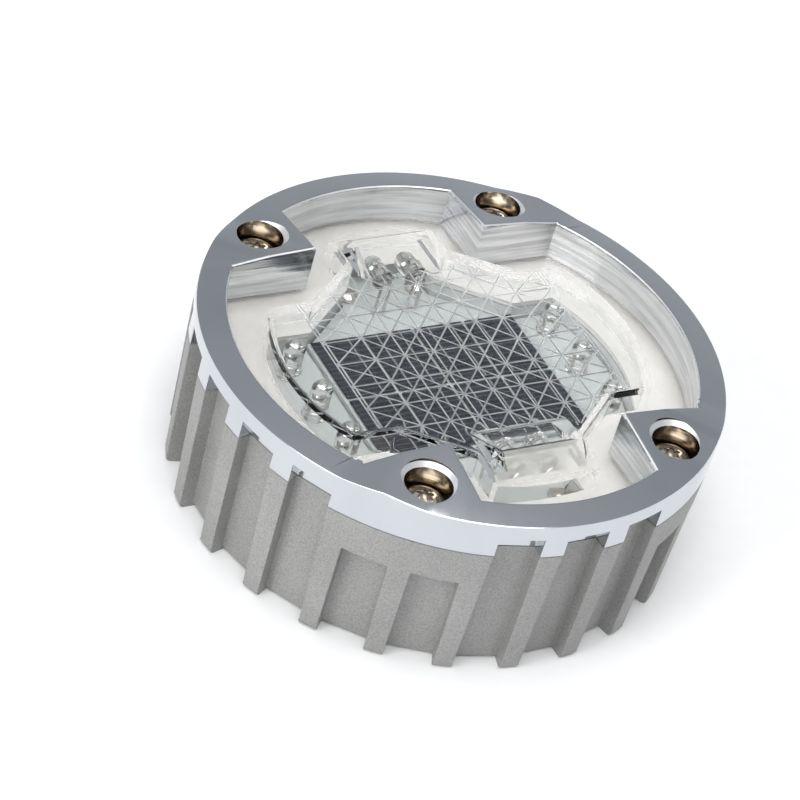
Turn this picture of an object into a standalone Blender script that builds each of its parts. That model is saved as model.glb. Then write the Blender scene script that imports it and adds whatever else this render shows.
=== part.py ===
"""Solar road stud for a cored hole in the pavement: cast housing, clamped clear lens, screwed top ring.

Frame: origin at the middle of the bottom face, +Z up, +Y towards one of the two lamp hoods. Metres.
"""

import math

import bmesh
import bpy
from mathutils import Matrix, Vector

# ---------------------------------------------------------------- driving dimensions
GAP = 0.0003                      # clearance between faces that touch on the real stud

RIM_RADIUS = 0.0625               # outer radius of the top ring and of the ribs under it
HOUSING_HEIGHT = 0.0362           # bed face to the joint under the ring
HOUSING_DRAFT = math.radians(2.2)
HOUSING_FLOOR = 0.0040
HOUSING_FOOT_BEVEL = 0.0014

RIB_COUNT = 24
GROOVE_DEPTH = 0.0039
GROOVE_TOP_WIDTH = 0.0105
GROOVE_FOOT_WIDTH = 0.0114
POCKET_HEIGHT = 0.0269            # a groove beside a screw stops at this height
RING_GROOVE_RISE = 0.0052         # how far the other grooves run up into the ring

RING_SIDE = 0.0088                # height of the ring's outer band
RING_SLOPE = math.radians(9.3)    # its top climbs inwards like a shallow cone
RING_BAND = 0.0070                # width of the ring outside the window
RING_EDGE_BEVEL = 0.0004
RIDGE_HEIGHT = 0.0012             # low ridge where two sectors of the cone meet
RIDGE_SPAN = math.radians(10)

SCREW_ANGLE = math.radians(53.3)  # from the X axis, mirrored into the four quarters
SCREW_EDGE = 0.0083               # screw axis to the outer radius
BORE_RADIUS = 0.0056
BORE_CHAMFER = 0.0005
BORE_WEB = 0.0021                 # ring metal left under the washer
LOBE_MARGIN_X = 0.0041
LOBE_MARGIN_Y = 0.0039
SHANK_RADIUS = 0.0029
SHANK_LENGTH = 0.0190
HEAD_RADIUS = 0.0050
HEAD_HEIGHT = 0.0030
DRIVE_RADIUS = 0.0021
DRIVE_DEPTH = 0.0017
WASHER_RADIUS = 0.0052
WASHER_THICKNESS = 0.0008

LENS_SINK = 0.0019                # lens face below the ring's rim
LENS_PLATE = 0.0030
LENS_WALL = 0.0018
FLANGE_THICKNESS = 0.0025
FLANGE_LAP = 0.0014               # how far the ring laps over the lens flange
MOAT_ROUND = 0.0102               # lens wall to the round part of the window
MOAT_SIDE = 0.0117
MOAT_END = 0.0091
CORNER_CUT_X = 0.0147
CORNER_CUT_Y = 0.0116
HOOD_FOOT_INSET = 0.0022          # window foot inside the end of the lens wall
HOOD_WINDOW_RUN = 0.0057
HOOD_RAMP_RUN = 0.0098
HOOD_RISE = 0.0012                # hood ridge above the rim
HOOD_DROP = 0.0037                # window foot below the rim
HOOD_HALF_WIDTH = 0.0105
HOOD_WALL = 0.0024

GASKET_THICKNESS = 0.0012
LEDGE_OVERHANG = 0.0003           # lens wall past the housing's inner wall
BOARD_CLEARANCE = 0.0005
BOARD_THICKNESS = 0.0016
BOARD_DROP = 0.0075               # main board's top below the lens seat
PANEL_THICKNESS = 0.0012
PANEL_MARGIN = 0.0006
CELL_WIDTH = 0.0128
PANEL_SIDE_SPACE = 0.0002         # panel board to the housing's long inner walls
CELL_SPACE = 0.0010
CELL_THICKNESS = 0.0005
CELL_COLUMNS = 4
CELL_ROWS = 2

LED_RADIUS = 0.0025
LED_COLLAR = 0.0029
LED_COLLAR_HEIGHT = 0.0010
LED_LENGTH = 0.0086
LED_LEG = 0.0006
LED_LEG_BACK = 0.0018             # bend of a lying lamp's legs behind its base
SIDE_LED_PITCH = 0.0144
SIDE_LED_INSET = 0.0103           # side lamps inside the lens wall
END_LED_HALF_PITCH = 0.0044
END_LED_SETBACK = 0.0068          # lamp tip behind the end of the lens wall
END_LED_RISE = 0.0020             # lamp axis above the lens seat

POST_RADIUS = 0.0045
POST_INSET_X = 0.0044             # board posts inside the long side of that end
POST_INSET_Y = 0.0095             # board posts inside the end of the lens wall
BOARD_SCREW_RADIUS = 0.0013
BOARD_SCREW_HEAD = 0.0024
BOARD_SCREW_HEAD_HEIGHT = 0.0016
BOARD_SCREW_LENGTH = 0.0070
BOARD_SCREW_CROWN = 0.0007        # chamfered part of the head

BATTERY_RADIUS = 0.0070
BATTERY_LENGTH = 0.0480
BATTERY_SPACE = 0.0010
BATTERY_CAP_RADIUS = 0.0028
BATTERY_CAP_HEIGHT = 0.0028
CRADLE_FLOOR = 0.0012
CRADLE_WALL = 0.0012
CRADLE_HEIGHT = 0.0080
CHIP_SIDE = 0.0070
CHIP_HEIGHT = 0.0014
COIL_RADIUS = 0.0040
COIL_HEIGHT = 0.0034
CAPACITOR_RADIUS = 0.0025
CAPACITOR_HEIGHT = 0.0050
WIRE_RADIUS = 0.0006
WIRE_BOW = 0.0036                 # how far a wire bows out on its way up
WIRE_DRAW = 0.0019                # how far its top end is drawn in to the middle
WIRE_STEPS = 14

ROUND = 96                        # sides of the large turned shapes
SMALL_ROUND = 20
LED_SIDES = 12
ARC_STEPS = 12

# ---------------------------------------------------------------- places worked out from them
RING_FOOT = HOUSING_HEIGHT + GAP
RIM_Z = RING_FOOT + RING_SIDE
SCREW_CIRCLE = RIM_RADIUS - SCREW_EDGE
SCREW_X = SCREW_CIRCLE * math.cos(SCREW_ANGLE)
SCREW_Y = SCREW_CIRCLE * math.sin(SCREW_ANGLE)
BORE_FLOOR = RING_FOOT + BORE_WEB
WINDOW_RADIUS = RIM_RADIUS - RING_BAND
WINDOW_END = SCREW_X - BORE_RADIUS - LOBE_MARGIN_X
WINDOW_SIDE = SCREW_Y - BORE_RADIUS - LOBE_MARGIN_Y
WALL_RADIUS = WINDOW_RADIUS - MOAT_ROUND
WALL_END = WINDOW_END - MOAT_END
WALL_SIDE = WINDOW_SIDE - MOAT_SIDE
LENS_TOP = RIM_Z - LENS_SINK
FLANGE_FOOT = HOUSING_HEIGHT - FLANGE_THICKNESS
GASKET_TOP = FLANGE_FOOT - GAP
LEDGE_Z = GASKET_TOP - GASKET_THICKNESS - GAP
HOOD_FOOT_Y = WALL_RADIUS - HOOD_FOOT_INSET
HOOD_RIDGE_Y = HOOD_FOOT_Y - HOOD_WINDOW_RUN
HOOD_START_Y = HOOD_RIDGE_Y - HOOD_RAMP_RUN
HOOD_RIDGE_Z = RIM_Z + HOOD_RISE
HOOD_FOOT_Z = RIM_Z - HOOD_DROP
BOARD_TOP = HOUSING_HEIGHT - BOARD_DROP
BOARD_FOOT = BOARD_TOP - BOARD_THICKNESS
PANEL_FOOT = BOARD_TOP + GAP
CELL_FOOT = PANEL_FOOT + PANEL_THICKNESS + GAP
PANEL_LENGTH = 2 * (WALL_SIDE - LENS_WALL + LEDGE_OVERHANG - PANEL_SIDE_SPACE)
CELL_LENGTH = (PANEL_LENGTH - 2 * PANEL_MARGIN - (CELL_ROWS - 1) * CELL_SPACE) / CELL_ROWS
POST_X = WALL_END - POST_INSET_X
POST_Y = WALL_RADIUS - POST_INSET_Y
QUARTERS = ((1, 1), (-1, 1), (-1, -1), (1, -1))

FINISHES = {
    "polished_aluminium": ((0.62, 0.64, 0.66, 1), 0.10, 1.0),
    "cast_aluminium": ((0.42, 0.42, 0.41, 1), 0.62, 0.8),
    "clear_polycarbonate": ((0.95, 0.97, 0.97, 0.35), 0.04, 0.0),
    "white_silicone": ((0.86, 0.85, 0.82, 1), 0.55, 0.0),
    "nickel_steel": ((0.58, 0.53, 0.47, 1), 0.18, 1.0),
    "board_white": ((0.78, 0.81, 0.80, 1), 0.45, 0.0),
    "solar_silicon": ((0.03, 0.04, 0.06, 1), 0.28, 0.2),
    "led_epoxy": ((0.93, 0.95, 0.95, 0.4), 0.05, 0.0),
    "battery_sleeve": ((0.10, 0.28, 0.16, 1), 0.40, 0.0),
    "black_plastic": ((0.03, 0.03, 0.03, 1), 0.50, 0.0),
    "ferrite": ((0.09, 0.09, 0.10, 1), 0.60, 0.0),
    "red_insulation": ((0.60, 0.05, 0.04, 1), 0.45, 0.0),
    "black_insulation": ((0.03, 0.03, 0.03, 1), 0.45, 0.0),
}


# ---------------------------------------------------------------- helpers
def finish(name):
    """The named material, made on first use."""
    found = bpy.data.materials.get(name)
    if found:
        return found
    colour, roughness, metallic = FINISHES[name]
    made = bpy.data.materials.new(name)
    made.use_nodes = True
    shader = made.node_tree.nodes["Principled BSDF"]
    shader.inputs["Base Color"].default_value = colour
    shader.inputs["Roughness"].default_value = roughness
    shader.inputs["Metallic"].default_value = metallic
    return made


def add(name, mesh, material):
    """A linked object that shows the mesh."""
    made = bpy.data.objects.new(name, mesh)
    bpy.context.scene.collection.objects.link(made)
    if not mesh.materials:
        mesh.materials.append(finish(material))
    return made


def to_mesh(bm, name):
    """A mesh from the bmesh, faces out and shaded smooth up to 35 degrees."""
    bmesh.ops.recalc_face_normals(bm, faces=bm.faces[:])
    mesh = bpy.data.meshes.new(name)
    bm.to_mesh(mesh)
    bm.free()
    mesh.shade_smooth()
    mesh.set_sharp_from_angle(angle=math.radians(35))
    return mesh


def turned(name, profile, sides=ROUND):
    """A solid of revolution about Z from (radius, height) points, its ends on the axis or closed on itself."""
    bm = bmesh.new()
    points = [bm.verts.new((radius, 0, height)) for radius, height in profile]
    edges = [bm.edges.new(pair) for pair in zip(points, points[1:])]
    if profile[0][0] > 0:
        edges.append(bm.edges.new((points[-1], points[0])))
    bmesh.ops.spin(bm, geom=points + edges, cent=(0, 0, 0), axis=(0, 0, 1), angle=math.tau,
                   steps=sides, use_merge=True)
    bmesh.ops.remove_doubles(bm, verts=bm.verts[:], dist=1e-6)
    return to_mesh(bm, name)


def prism(name, outline, low, high, axis="Z"):
    """A straight extrusion of the outline from low to high along Z, or along X with an outline in Y and Z."""
    bm = bmesh.new()
    if axis == "Z":
        corners = [bm.verts.new((x, y, low)) for x, y in outline]
        travel = Vector((0, 0, high - low))
    else:
        corners = [bm.verts.new((low, y, z)) for y, z in outline]
        travel = Vector((high - low, 0, 0))
    face = bm.faces.new(corners)
    grown = bmesh.ops.extrude_face_region(bm, geom=[face])
    moved = [item for item in grown["geom"] if isinstance(item, bmesh.types.BMVert)]
    bmesh.ops.translate(bm, verts=moved, vec=travel)
    return to_mesh(bm, name)


def hull(name, points):
    """The convex solid around the points."""
    bm = bmesh.new()
    corners = [bm.verts.new(point) for point in points]
    made = bmesh.ops.convex_hull(bm, input=corners)
    unused = [item for item in made["geom_interior"] if isinstance(item, bmesh.types.BMVert)]
    bmesh.ops.delete(bm, geom=unused, context="VERTS")
    return to_mesh(bm, name)


def box(name, size, centre):
    """A block of the given size about its centre."""
    bm = bmesh.new()
    bmesh.ops.create_cube(bm, size=1)
    bmesh.ops.scale(bm, verts=bm.verts[:], vec=size)
    bmesh.ops.translate(bm, verts=bm.verts[:], vec=centre)
    return to_mesh(bm, name)


def tool(name, mesh):
    """A hidden helper that a Boolean reads."""
    made = bpy.data.objects.new(name, mesh)
    bpy.context.scene.collection.objects.link(made)
    made.hide_render = True
    made.display_type = "WIRE"
    return made


def boolean(target, helper, operation="DIFFERENCE"):
    """One exact Boolean on the target."""
    step = target.modifiers.new(helper.name, "BOOLEAN")
    step.object = helper
    step.operation = operation
    step.solver = "EXACT"
    return step


def arc(radius, start, end, steps=ARC_STEPS):
    """Points of a circular arc about the origin, both ends included."""
    return [(radius * math.cos(start + (end - start) * i / steps),
             radius * math.sin(start + (end - start) * i / steps)) for i in range(steps + 1)]


def cross_outline(radius, end, side, corners):
    """A round outline notched at its four quarters.

    The openings at +-Y are 2*end wide and those at +-X are 2*side wide; corners are the points of the
    notch in the first quarter, from the X side round to the Y side.
    """
    half = math.asin(side / radius)
    past = math.acos(end / radius)
    quarter = arc(radius, 0, half, ARC_STEPS // 2) + corners + arc(radius, past, math.pi / 2, ARC_STEPS // 2)
    points = list(quarter)
    points += [(-x, y) for x, y in reversed(quarter[:-1])]
    points += [(-x, -y) for x, y in quarter[1:]]
    points += [(x, -y) for x, y in reversed(quarter[1:-1])]
    return points


def window_outline(grow=0.0):
    """The ring's window, or an outline that much larger."""
    corner = (WINDOW_END + grow, WINDOW_SIDE + grow)
    return cross_outline(WINDOW_RADIUS + grow, WINDOW_END + grow, WINDOW_SIDE + grow, [corner])


def wall_outline(inset=0.0):
    """The lens wall's outer outline, or an outline that much smaller."""
    end = WALL_END - inset
    side = WALL_SIDE - inset
    slant = math.hypot(CORNER_CUT_X, CORNER_CUT_Y)
    across = CORNER_CUT_Y / slant
    along = CORNER_CUT_X / slant
    reach = across * WALL_END + along * (WALL_SIDE + CORNER_CUT_Y) - inset
    corners = [((reach - along * side) / across, side), (end, (reach - across * end) / along)]
    return cross_outline(WALL_RADIUS - inset, end, side, corners)


def groove_angles(full):
    """Angles of the grooves: those beside a screw are pockets, all others are full."""
    pitch = math.tau / RIB_COUNT
    screws = [math.atan2(sy * SCREW_Y, sx * SCREW_X) for sx, sy in QUARTERS]
    angles = []
    for i in range(RIB_COUNT):
        angle = i * pitch
        nearest = min(abs(math.remainder(angle - screw, math.tau)) for screw in screws)
        if (nearest > pitch) == full:
            angles.append(angle)
    return angles


def groove_cutters(name, angles, low, high):
    """One mesh of tapered slots cut into the outside between two heights."""
    bm = bmesh.new()
    lean = math.tan(HOUSING_DRAFT)
    for angle in angles:
        made = bmesh.ops.create_cube(bm, size=1)["verts"]
        for corner in made:
            height = high if corner.co.z > 0 else low
            down = max(HOUSING_HEIGHT - height, 0) / HOUSING_HEIGHT
            floor = RIM_RADIUS - GROOVE_DEPTH - lean * max(HOUSING_HEIGHT - height, 0)
            radius = RIM_RADIUS * 1.1 if corner.co.x > 0 else floor
            half = (GROOVE_TOP_WIDTH + (GROOVE_FOOT_WIDTH - GROOVE_TOP_WIDTH) * down) / 2
            corner.co = Vector((radius, math.copysign(half, corner.co.y), height))
        bmesh.ops.rotate(bm, verts=made, cent=(0, 0, 0), matrix=Matrix.Rotation(angle, 3, "Z"))
    return tool(name, to_mesh(bm, name))


def in_quarters(name, mesh, x, y):
    """A hidden helper with one copy of the mesh in each quarter, at (+-x, +-y)."""
    bm = bmesh.new()
    for sx, sy in QUARTERS:
        before = len(bm.verts)
        bm.from_mesh(mesh)
        bm.verts.ensure_lookup_table()
        bmesh.ops.translate(bm, verts=bm.verts[before:], vec=(sx * x, sy * y, 0))
    return tool(name, to_mesh(bm, name))


# ---------------------------------------------------------------- housing, ring and lens
def base_housing():
    """Cast cup with draughted ribs, blind pockets beside the screws, a lens ledge and board posts."""
    foot = RIM_RADIUS - HOUSING_HEIGHT * math.tan(HOUSING_DRAFT)
    lip = HOUSING_FOOT_BEVEL
    profile = [(0, 0), (foot - lip, 0), (foot, lip), (RIM_RADIUS, HOUSING_HEIGHT), (0, HOUSING_HEIGHT)]
    body = add("base_housing", turned("base_housing", profile), "cast_aluminium")
    spill = HOUSING_FOOT_BEVEL
    boolean(body, groove_cutters("cut_full_grooves", groove_angles(True), -spill, HOUSING_HEIGHT + spill))
    boolean(body, groove_cutters("cut_pockets", groove_angles(False), -spill, POCKET_HEIGHT))
    seat = prism("cut_seat", window_outline(FLANGE_LAP + GAP), LEDGE_Z, RIM_Z)
    boolean(body, tool("cut_seat", seat))
    well = prism("cut_well", wall_outline(LENS_WALL - LEDGE_OVERHANG), HOUSING_FLOOR, RIM_Z)
    boolean(body, tool("cut_well", well))
    boolean(body, board_posts(), "UNION")
    thread = SHANK_RADIUS + GAP
    depth = RING_FOOT - SHANK_LENGTH
    drill = turned("cut_threads", [(0, depth), (thread, depth), (thread, RIM_Z), (0, RIM_Z)], SMALL_ROUND)
    boolean(body, in_quarters("cut_threads", drill, SCREW_X, SCREW_Y))
    return body


def board_posts():
    """Four posts up from the housing floor, bored for the board screws."""
    top = BOARD_FOOT - GAP
    bore = BOARD_SCREW_RADIUS + GAP
    depth = top - BOARD_SCREW_LENGTH
    foot = HOUSING_FLOOR / 2
    profile = [(0, foot), (POST_RADIUS, foot), (POST_RADIUS, top), (bore, top), (bore, depth), (0, depth)]
    return in_quarters("add_posts", turned("post", profile, SMALL_ROUND), POST_X, POST_Y)


def ring_top(radius):
    """Height of the ring's cone at a radius."""
    return RIM_Z + (RIM_RADIUS - radius) * math.tan(RING_SLOPE)


def raise_ridges(mesh):
    """Lifts the rim to a soft ridge at each diagonal, fading out at the window's radius."""
    for corner in mesh.vertices:
        radius = math.hypot(corner.co.x, corner.co.y)
        if corner.co.z < RIM_Z - 2 * RING_EDGE_BEVEL or radius < WINDOW_RADIUS:
            continue
        turn = math.remainder(math.atan2(corner.co.y, corner.co.x) - math.pi / 4, math.pi / 2)
        share = max(0.0, 1 - abs(turn) / RIDGE_SPAN)
        fade = 0.5 + 0.5 * (radius - WINDOW_RADIUS) / RING_BAND
        corner.co.z += RIDGE_HEIGHT * share * fade


def top_ring():
    """Polished ring: coned top with four screw lobes, a cross-shaped window and the grooves' upper ends."""
    edge = RING_EDGE_BEVEL
    profile = [(0, RING_FOOT), (RIM_RADIUS, RING_FOOT), (RIM_RADIUS, RIM_Z - edge), (RIM_RADIUS - edge, RIM_Z),
               (WINDOW_RADIUS, ring_top(WINDOW_RADIUS)), (WINDOW_END, ring_top(WINDOW_END)),
               (0, ring_top(WINDOW_END))]
    mesh = turned("top_ring", profile)
    raise_ridges(mesh)
    ring = add("top_ring", mesh, "polished_aluminium")
    window = prism("cut_window", window_outline(), 0, 2 * RIM_Z)
    boolean(ring, tool("cut_window", window))
    grooves = groove_cutters("cut_ring_grooves", groove_angles(True), 0, RING_FOOT + RING_GROOVE_RISE - GAP)
    boolean(ring, grooves)
    mouth = ring_top(SCREW_CIRCLE)
    spread = 2 * BORE_CHAMFER
    bore = turned("cut_bores", [(0, 0), (SHANK_RADIUS + GAP, 0), (SHANK_RADIUS + GAP, BORE_FLOOR),
                                (BORE_RADIUS, BORE_FLOOR), (BORE_RADIUS, mouth - BORE_CHAMFER),
                                (BORE_RADIUS + spread, mouth + BORE_CHAMFER),
                                (BORE_RADIUS + spread, 2 * RIM_Z), (0, 2 * RIM_Z)], SMALL_ROUND)
    boolean(ring, in_quarters("cut_bores", bore, SCREW_X, SCREW_Y))
    return ring


def hood_solid(sy):
    """Raised wedge of lens over two lamps, at the +Y or -Y end."""
    root = HOOD_FOOT_Z - LENS_PLATE / 2
    points = []
    for sx in (-1, 1):
        wide = sx * WALL_END
        narrow = sx * HOOD_HALF_WIDTH
        points += [(wide, sy * HOOD_START_Y, LENS_TOP), (wide, sy * HOOD_START_Y, root),
                   (wide, sy * HOOD_RIDGE_Y, LENS_TOP), (wide, sy * HOOD_RIDGE_Y, root),
                   (narrow, sy * HOOD_RIDGE_Y, HOOD_RIDGE_Z), (narrow, sy * HOOD_FOOT_Y, HOOD_FOOT_Z),
                   (narrow, sy * HOOD_FOOT_Y, root)]
    return hull("hood", points)


def window_fall():
    """Fall of the hood's window per unit of run towards the end."""
    return (HOOD_RIDGE_Z - HOOD_FOOT_Z) / HOOD_WINDOW_RUN


def hood_window_cut(sy):
    """Takes the lens away in front of a hood's sloping window."""
    top = HOOD_RIDGE_Z + LENS_PLATE
    back = HOOD_FOOT_Y - (top - HOOD_FOOT_Z) / window_fall()
    out = RIM_RADIUS
    outline = [(sy * HOOD_FOOT_Y, HOOD_FOOT_Z), (sy * out, HOOD_FOOT_Z), (sy * out, top), (sy * back, top)]
    return prism("window_cut", outline, -WALL_RADIUS, WALL_RADIUS, "X")


def hood_hollow(sy):
    """Lamp space inside a hood, one wall thickness under its ramp and its window."""
    ramp = (HOOD_RIDGE_Z - LENS_TOP) / HOOD_RAMP_RUN
    fall = window_fall()
    ramp_drop = HOOD_WALL * math.hypot(1, ramp)
    fall_drop = HOOD_WALL * math.hypot(1, fall)
    start_z = LENS_TOP - ramp_drop
    foot_z = HOOD_FOOT_Z - fall_drop
    peak_y = HOOD_START_Y + (foot_z + fall * (HOOD_FOOT_Y - HOOD_START_Y) - start_z) / (ramp + fall)
    peak_z = start_z + ramp * (peak_y - HOOD_START_Y)
    low = FLANGE_FOOT - GAP
    front_y = HOOD_FOOT_Y - HOOD_WALL
    front_z = foot_z + fall * HOOD_WALL
    outline = [(sy * HOOD_START_Y, low), (sy * front_y, low), (sy * front_y, front_z), (sy * peak_y, peak_z),
               (sy * HOOD_START_Y, start_z)]
    half = HOOD_HALF_WIDTH - HOOD_WALL / 2
    return prism("hood_hollow", outline, -half, half, "X")


def lens_cover():
    """Clear moulded lens: clamped flange, raised cross-shaped table with a hood at each Y end, hollow below."""
    flange = prism("lens_cover", window_outline(FLANGE_LAP), FLANGE_FOOT, HOUSING_HEIGHT)
    lens = add("lens_cover", flange, "clear_polycarbonate")
    table = prism("add_table", wall_outline(), FLANGE_FOOT + FLANGE_THICKNESS / 2, LENS_TOP)
    boolean(lens, tool("add_table", table), "UNION")
    for sy, end in ((1, "front"), (-1, "back")):
        boolean(lens, tool("add_hood_" + end, hood_solid(sy)), "UNION")
        boolean(lens, tool("cut_hood_window_" + end, hood_window_cut(sy)))
    hollow = prism("cut_hollow", wall_outline(LENS_WALL), 0, LENS_TOP - LENS_PLATE)
    boolean(lens, tool("cut_hollow", shorten_ends(hollow)))
    for sy, end in ((1, "front"), (-1, "back")):
        boolean(lens, tool("cut_lamp_space_" + end, hood_hollow(sy)))
    return lens


def shorten_ends(mesh):
    """Pulls the hollow back behind the hoods' windows, so that the end walls keep their thickness."""
    limit = HOOD_FOOT_Y - HOOD_WALL
    for corner in mesh.vertices:
        corner.co.y = max(-limit, min(limit, corner.co.y))
    bm = bmesh.new()
    bm.from_mesh(mesh)
    bmesh.ops.dissolve_limit(bm, angle_limit=math.radians(0.1), verts=bm.verts[:], edges=bm.edges[:])
    return to_mesh(bm, mesh.name)


def lens_gasket():
    """Flat silicone gasket between the lens flange and the housing's ledge."""
    foot = GASKET_TOP - GASKET_THICKNESS
    mesh = prism("lens_gasket", window_outline(FLANGE_LAP), foot, GASKET_TOP)
    gasket = add("lens_gasket", mesh, "white_silicone")
    opening = prism("cut_gasket", wall_outline(LENS_WALL - LEDGE_OVERHANG), 0, RIM_Z)
    boolean(gasket, tool("cut_gasket", opening))
    return gasket


# ---------------------------------------------------------------- fasteners
def star_outline(radius, sides=24):
    """Six-lobed outline of the screw drive."""
    points = []
    for i in range(sides):
        angle = math.tau * i / sides
        reach = radius * (0.86 + 0.14 * math.cos(6 * angle))
        points.append((reach * math.cos(angle), reach * math.sin(angle)))
    return points


def cover_screws():
    """Four button-head screws with a six-lobed drive, each on its own washer at the foot of its bore."""
    washer_foot = BORE_FLOOR + GAP
    head_foot = washer_foot + WASHER_THICKNESS + GAP
    head_top = head_foot + HEAD_HEIGHT
    tip = head_foot - SHANK_LENGTH
    dome = [(HEAD_RADIUS * math.cos(turn), head_foot + HEAD_HEIGHT * (0.3 + 0.7 * math.sin(turn)))
            for turn in [math.radians(step) for step in (0, 25, 50, 70)]]
    profile = [(0, tip), (SHANK_RADIUS - GAP, tip), (SHANK_RADIUS, tip + 2 * GAP), (SHANK_RADIUS, head_foot),
               (HEAD_RADIUS, head_foot)] + dome + [(0, dome[-1][1])]
    screw_mesh = turned("cover_screw", profile, SMALL_ROUND)
    drive_mesh = prism("cut_drive", star_outline(DRIVE_RADIUS), head_top - DRIVE_DEPTH, head_top + HEAD_HEIGHT)
    washer_top = washer_foot + WASHER_THICKNESS
    hole = SHANK_RADIUS + GAP
    ring = [(hole, washer_foot), (WASHER_RADIUS, washer_foot), (WASHER_RADIUS, washer_top), (hole, washer_top)]
    washer_mesh = turned("cover_washer", ring, SMALL_ROUND)
    for number, (sx, sy) in enumerate(QUARTERS, 1):
        place = (sx * SCREW_X, sy * SCREW_Y, 0)
        screw = add(f"cover_screw_{number}", screw_mesh, "nickel_steel")
        screw.location = place
        drive = tool(f"cut_drive_{number}", drive_mesh)
        drive.location = place
        boolean(screw, drive)
        washer = add(f"cover_washer_{number}", washer_mesh, "nickel_steel")
        washer.location = place


def board_screws():
    """Four small screws that hold the main board on its posts."""
    head_foot = BOARD_TOP + GAP
    tip = BOARD_FOOT - BOARD_SCREW_LENGTH + 2 * GAP
    crown = head_foot + BOARD_SCREW_HEAD_HEIGHT
    profile = [(0, tip), (BOARD_SCREW_RADIUS, tip), (BOARD_SCREW_RADIUS, head_foot),
               (BOARD_SCREW_HEAD, head_foot), (BOARD_SCREW_HEAD, crown - BOARD_SCREW_CROWN),
               (BOARD_SCREW_RADIUS, crown), (0, crown)]
    mesh = turned("board_screw", profile, LED_SIDES)
    for number, (sx, sy) in enumerate(QUARTERS, 1):
        screw = add(f"board_screw_{number}", mesh, "nickel_steel")
        screw.location = (sx * POST_X, sy * POST_Y, 0)


# ---------------------------------------------------------------- electrics
def main_board():
    """Circuit board that fills the well, bored for its screws."""
    inset = LENS_WALL - LEDGE_OVERHANG + BOARD_CLEARANCE
    board = add("main_board", prism("main_board", wall_outline(inset), BOARD_FOOT, BOARD_TOP), "board_white")
    bore = BOARD_SCREW_RADIUS + GAP
    drill = turned("board_bore", [(0, 0), (bore, 0), (bore, RIM_Z), (0, RIM_Z)], SMALL_ROUND)
    boolean(board, in_quarters("cut_board", drill, POST_X, POST_Y))


def solar_panel():
    """Panel board and its cells, in columns along X and rows along Y."""
    pitch_x = CELL_WIDTH + CELL_SPACE
    pitch_y = CELL_LENGTH + CELL_SPACE
    width = CELL_COLUMNS * pitch_x - CELL_SPACE + 2 * PANEL_MARGIN
    centre = (0, 0, PANEL_FOOT + PANEL_THICKNESS / 2)
    add("solar_board", box("solar_board", (width, PANEL_LENGTH, PANEL_THICKNESS), centre), "board_white")
    cell = box("solar_cell", (CELL_WIDTH, CELL_LENGTH, CELL_THICKNESS), (0, 0, CELL_FOOT + CELL_THICKNESS / 2))
    number = 0
    for row in range(CELL_ROWS):
        for column in range(CELL_COLUMNS):
            number += 1
            x = (column - (CELL_COLUMNS - 1) / 2) * pitch_x
            y = (row - (CELL_ROWS - 1) / 2) * pitch_y
            add(f"solar_cell_{number}", cell, "solar_silicon").location = (x, y, 0)


def led_profile():
    """Half outline of a round lamp standing on its base: collar, barrel and dome."""
    dome = [(LED_RADIUS * math.cos(turn), LED_LENGTH - LED_RADIUS + LED_RADIUS * math.sin(turn))
            for turn in [math.radians(step) for step in (0, 30, 60)]]
    collar = [(0, 0), (LED_COLLAR, 0), (LED_COLLAR, LED_COLLAR_HEIGHT), (LED_RADIUS, LED_COLLAR_HEIGHT)]
    return collar + dome + [(0, LED_LENGTH)]


def side_leds():
    """Three upright lamps along each X side of the panel."""
    mesh = turned("side_led", led_profile(), LED_SIDES)
    offset = WALL_RADIUS - SIDE_LED_INSET
    for sx, side in ((1, "right"), (-1, "left")):
        for step in (-1, 0, 1):
            lamp = add(f"led_{side}_{step + 2}", mesh, "led_epoxy")
            lamp.location = (sx * offset, step * SIDE_LED_PITCH, BOARD_TOP + GAP)


def end_leds():
    """Two lying lamps under each hood, with legs bent down to the board."""
    base_y = WALL_RADIUS - END_LED_SETBACK - LED_LENGTH
    axis_z = HOUSING_HEIGHT + END_LED_RISE
    for sy, end in ((1, "front"), (-1, "back")):
        for sx, side in ((-1, "left"), (1, "right")):
            lamp = add(f"led_{end}_{side}", turned("end_led", led_profile(), LED_SIDES), "led_epoxy")
            lamp.rotation_euler = (-sy * math.pi / 2, 0, 0)
            lamp.location = (sx * END_LED_HALF_PITCH, sy * base_y, axis_z)
            legs = tool(f"add_legs_{end}_{side}", lamp_legs(sy, axis_z - BOARD_TOP - GAP))
            legs.location = lamp.location
            boolean(lamp, legs, "UNION").use_self = True


def lamp_legs(sy, drop):
    """Two square legs from inside a lying lamp's base, bent down by the drop; the base is at the origin."""
    half = LED_LEG / 2
    run = LED_LEG_BACK + LED_COLLAR_HEIGHT / 2
    bm = bmesh.new()
    for shift in (-LED_RADIUS / 2, LED_RADIUS / 2):
        outline = [(run - LED_LEG_BACK, half), (run - LED_LEG_BACK, -half), (half - LED_LEG_BACK, -half),
                   (half - LED_LEG_BACK, -drop), (-half - LED_LEG_BACK, -drop), (-half - LED_LEG_BACK, half)]
        bm.from_mesh(prism("leg", [(sy * y, z) for y, z in outline], shift - half, shift + half, "X"))
    return to_mesh(bm, "legs")


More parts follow.
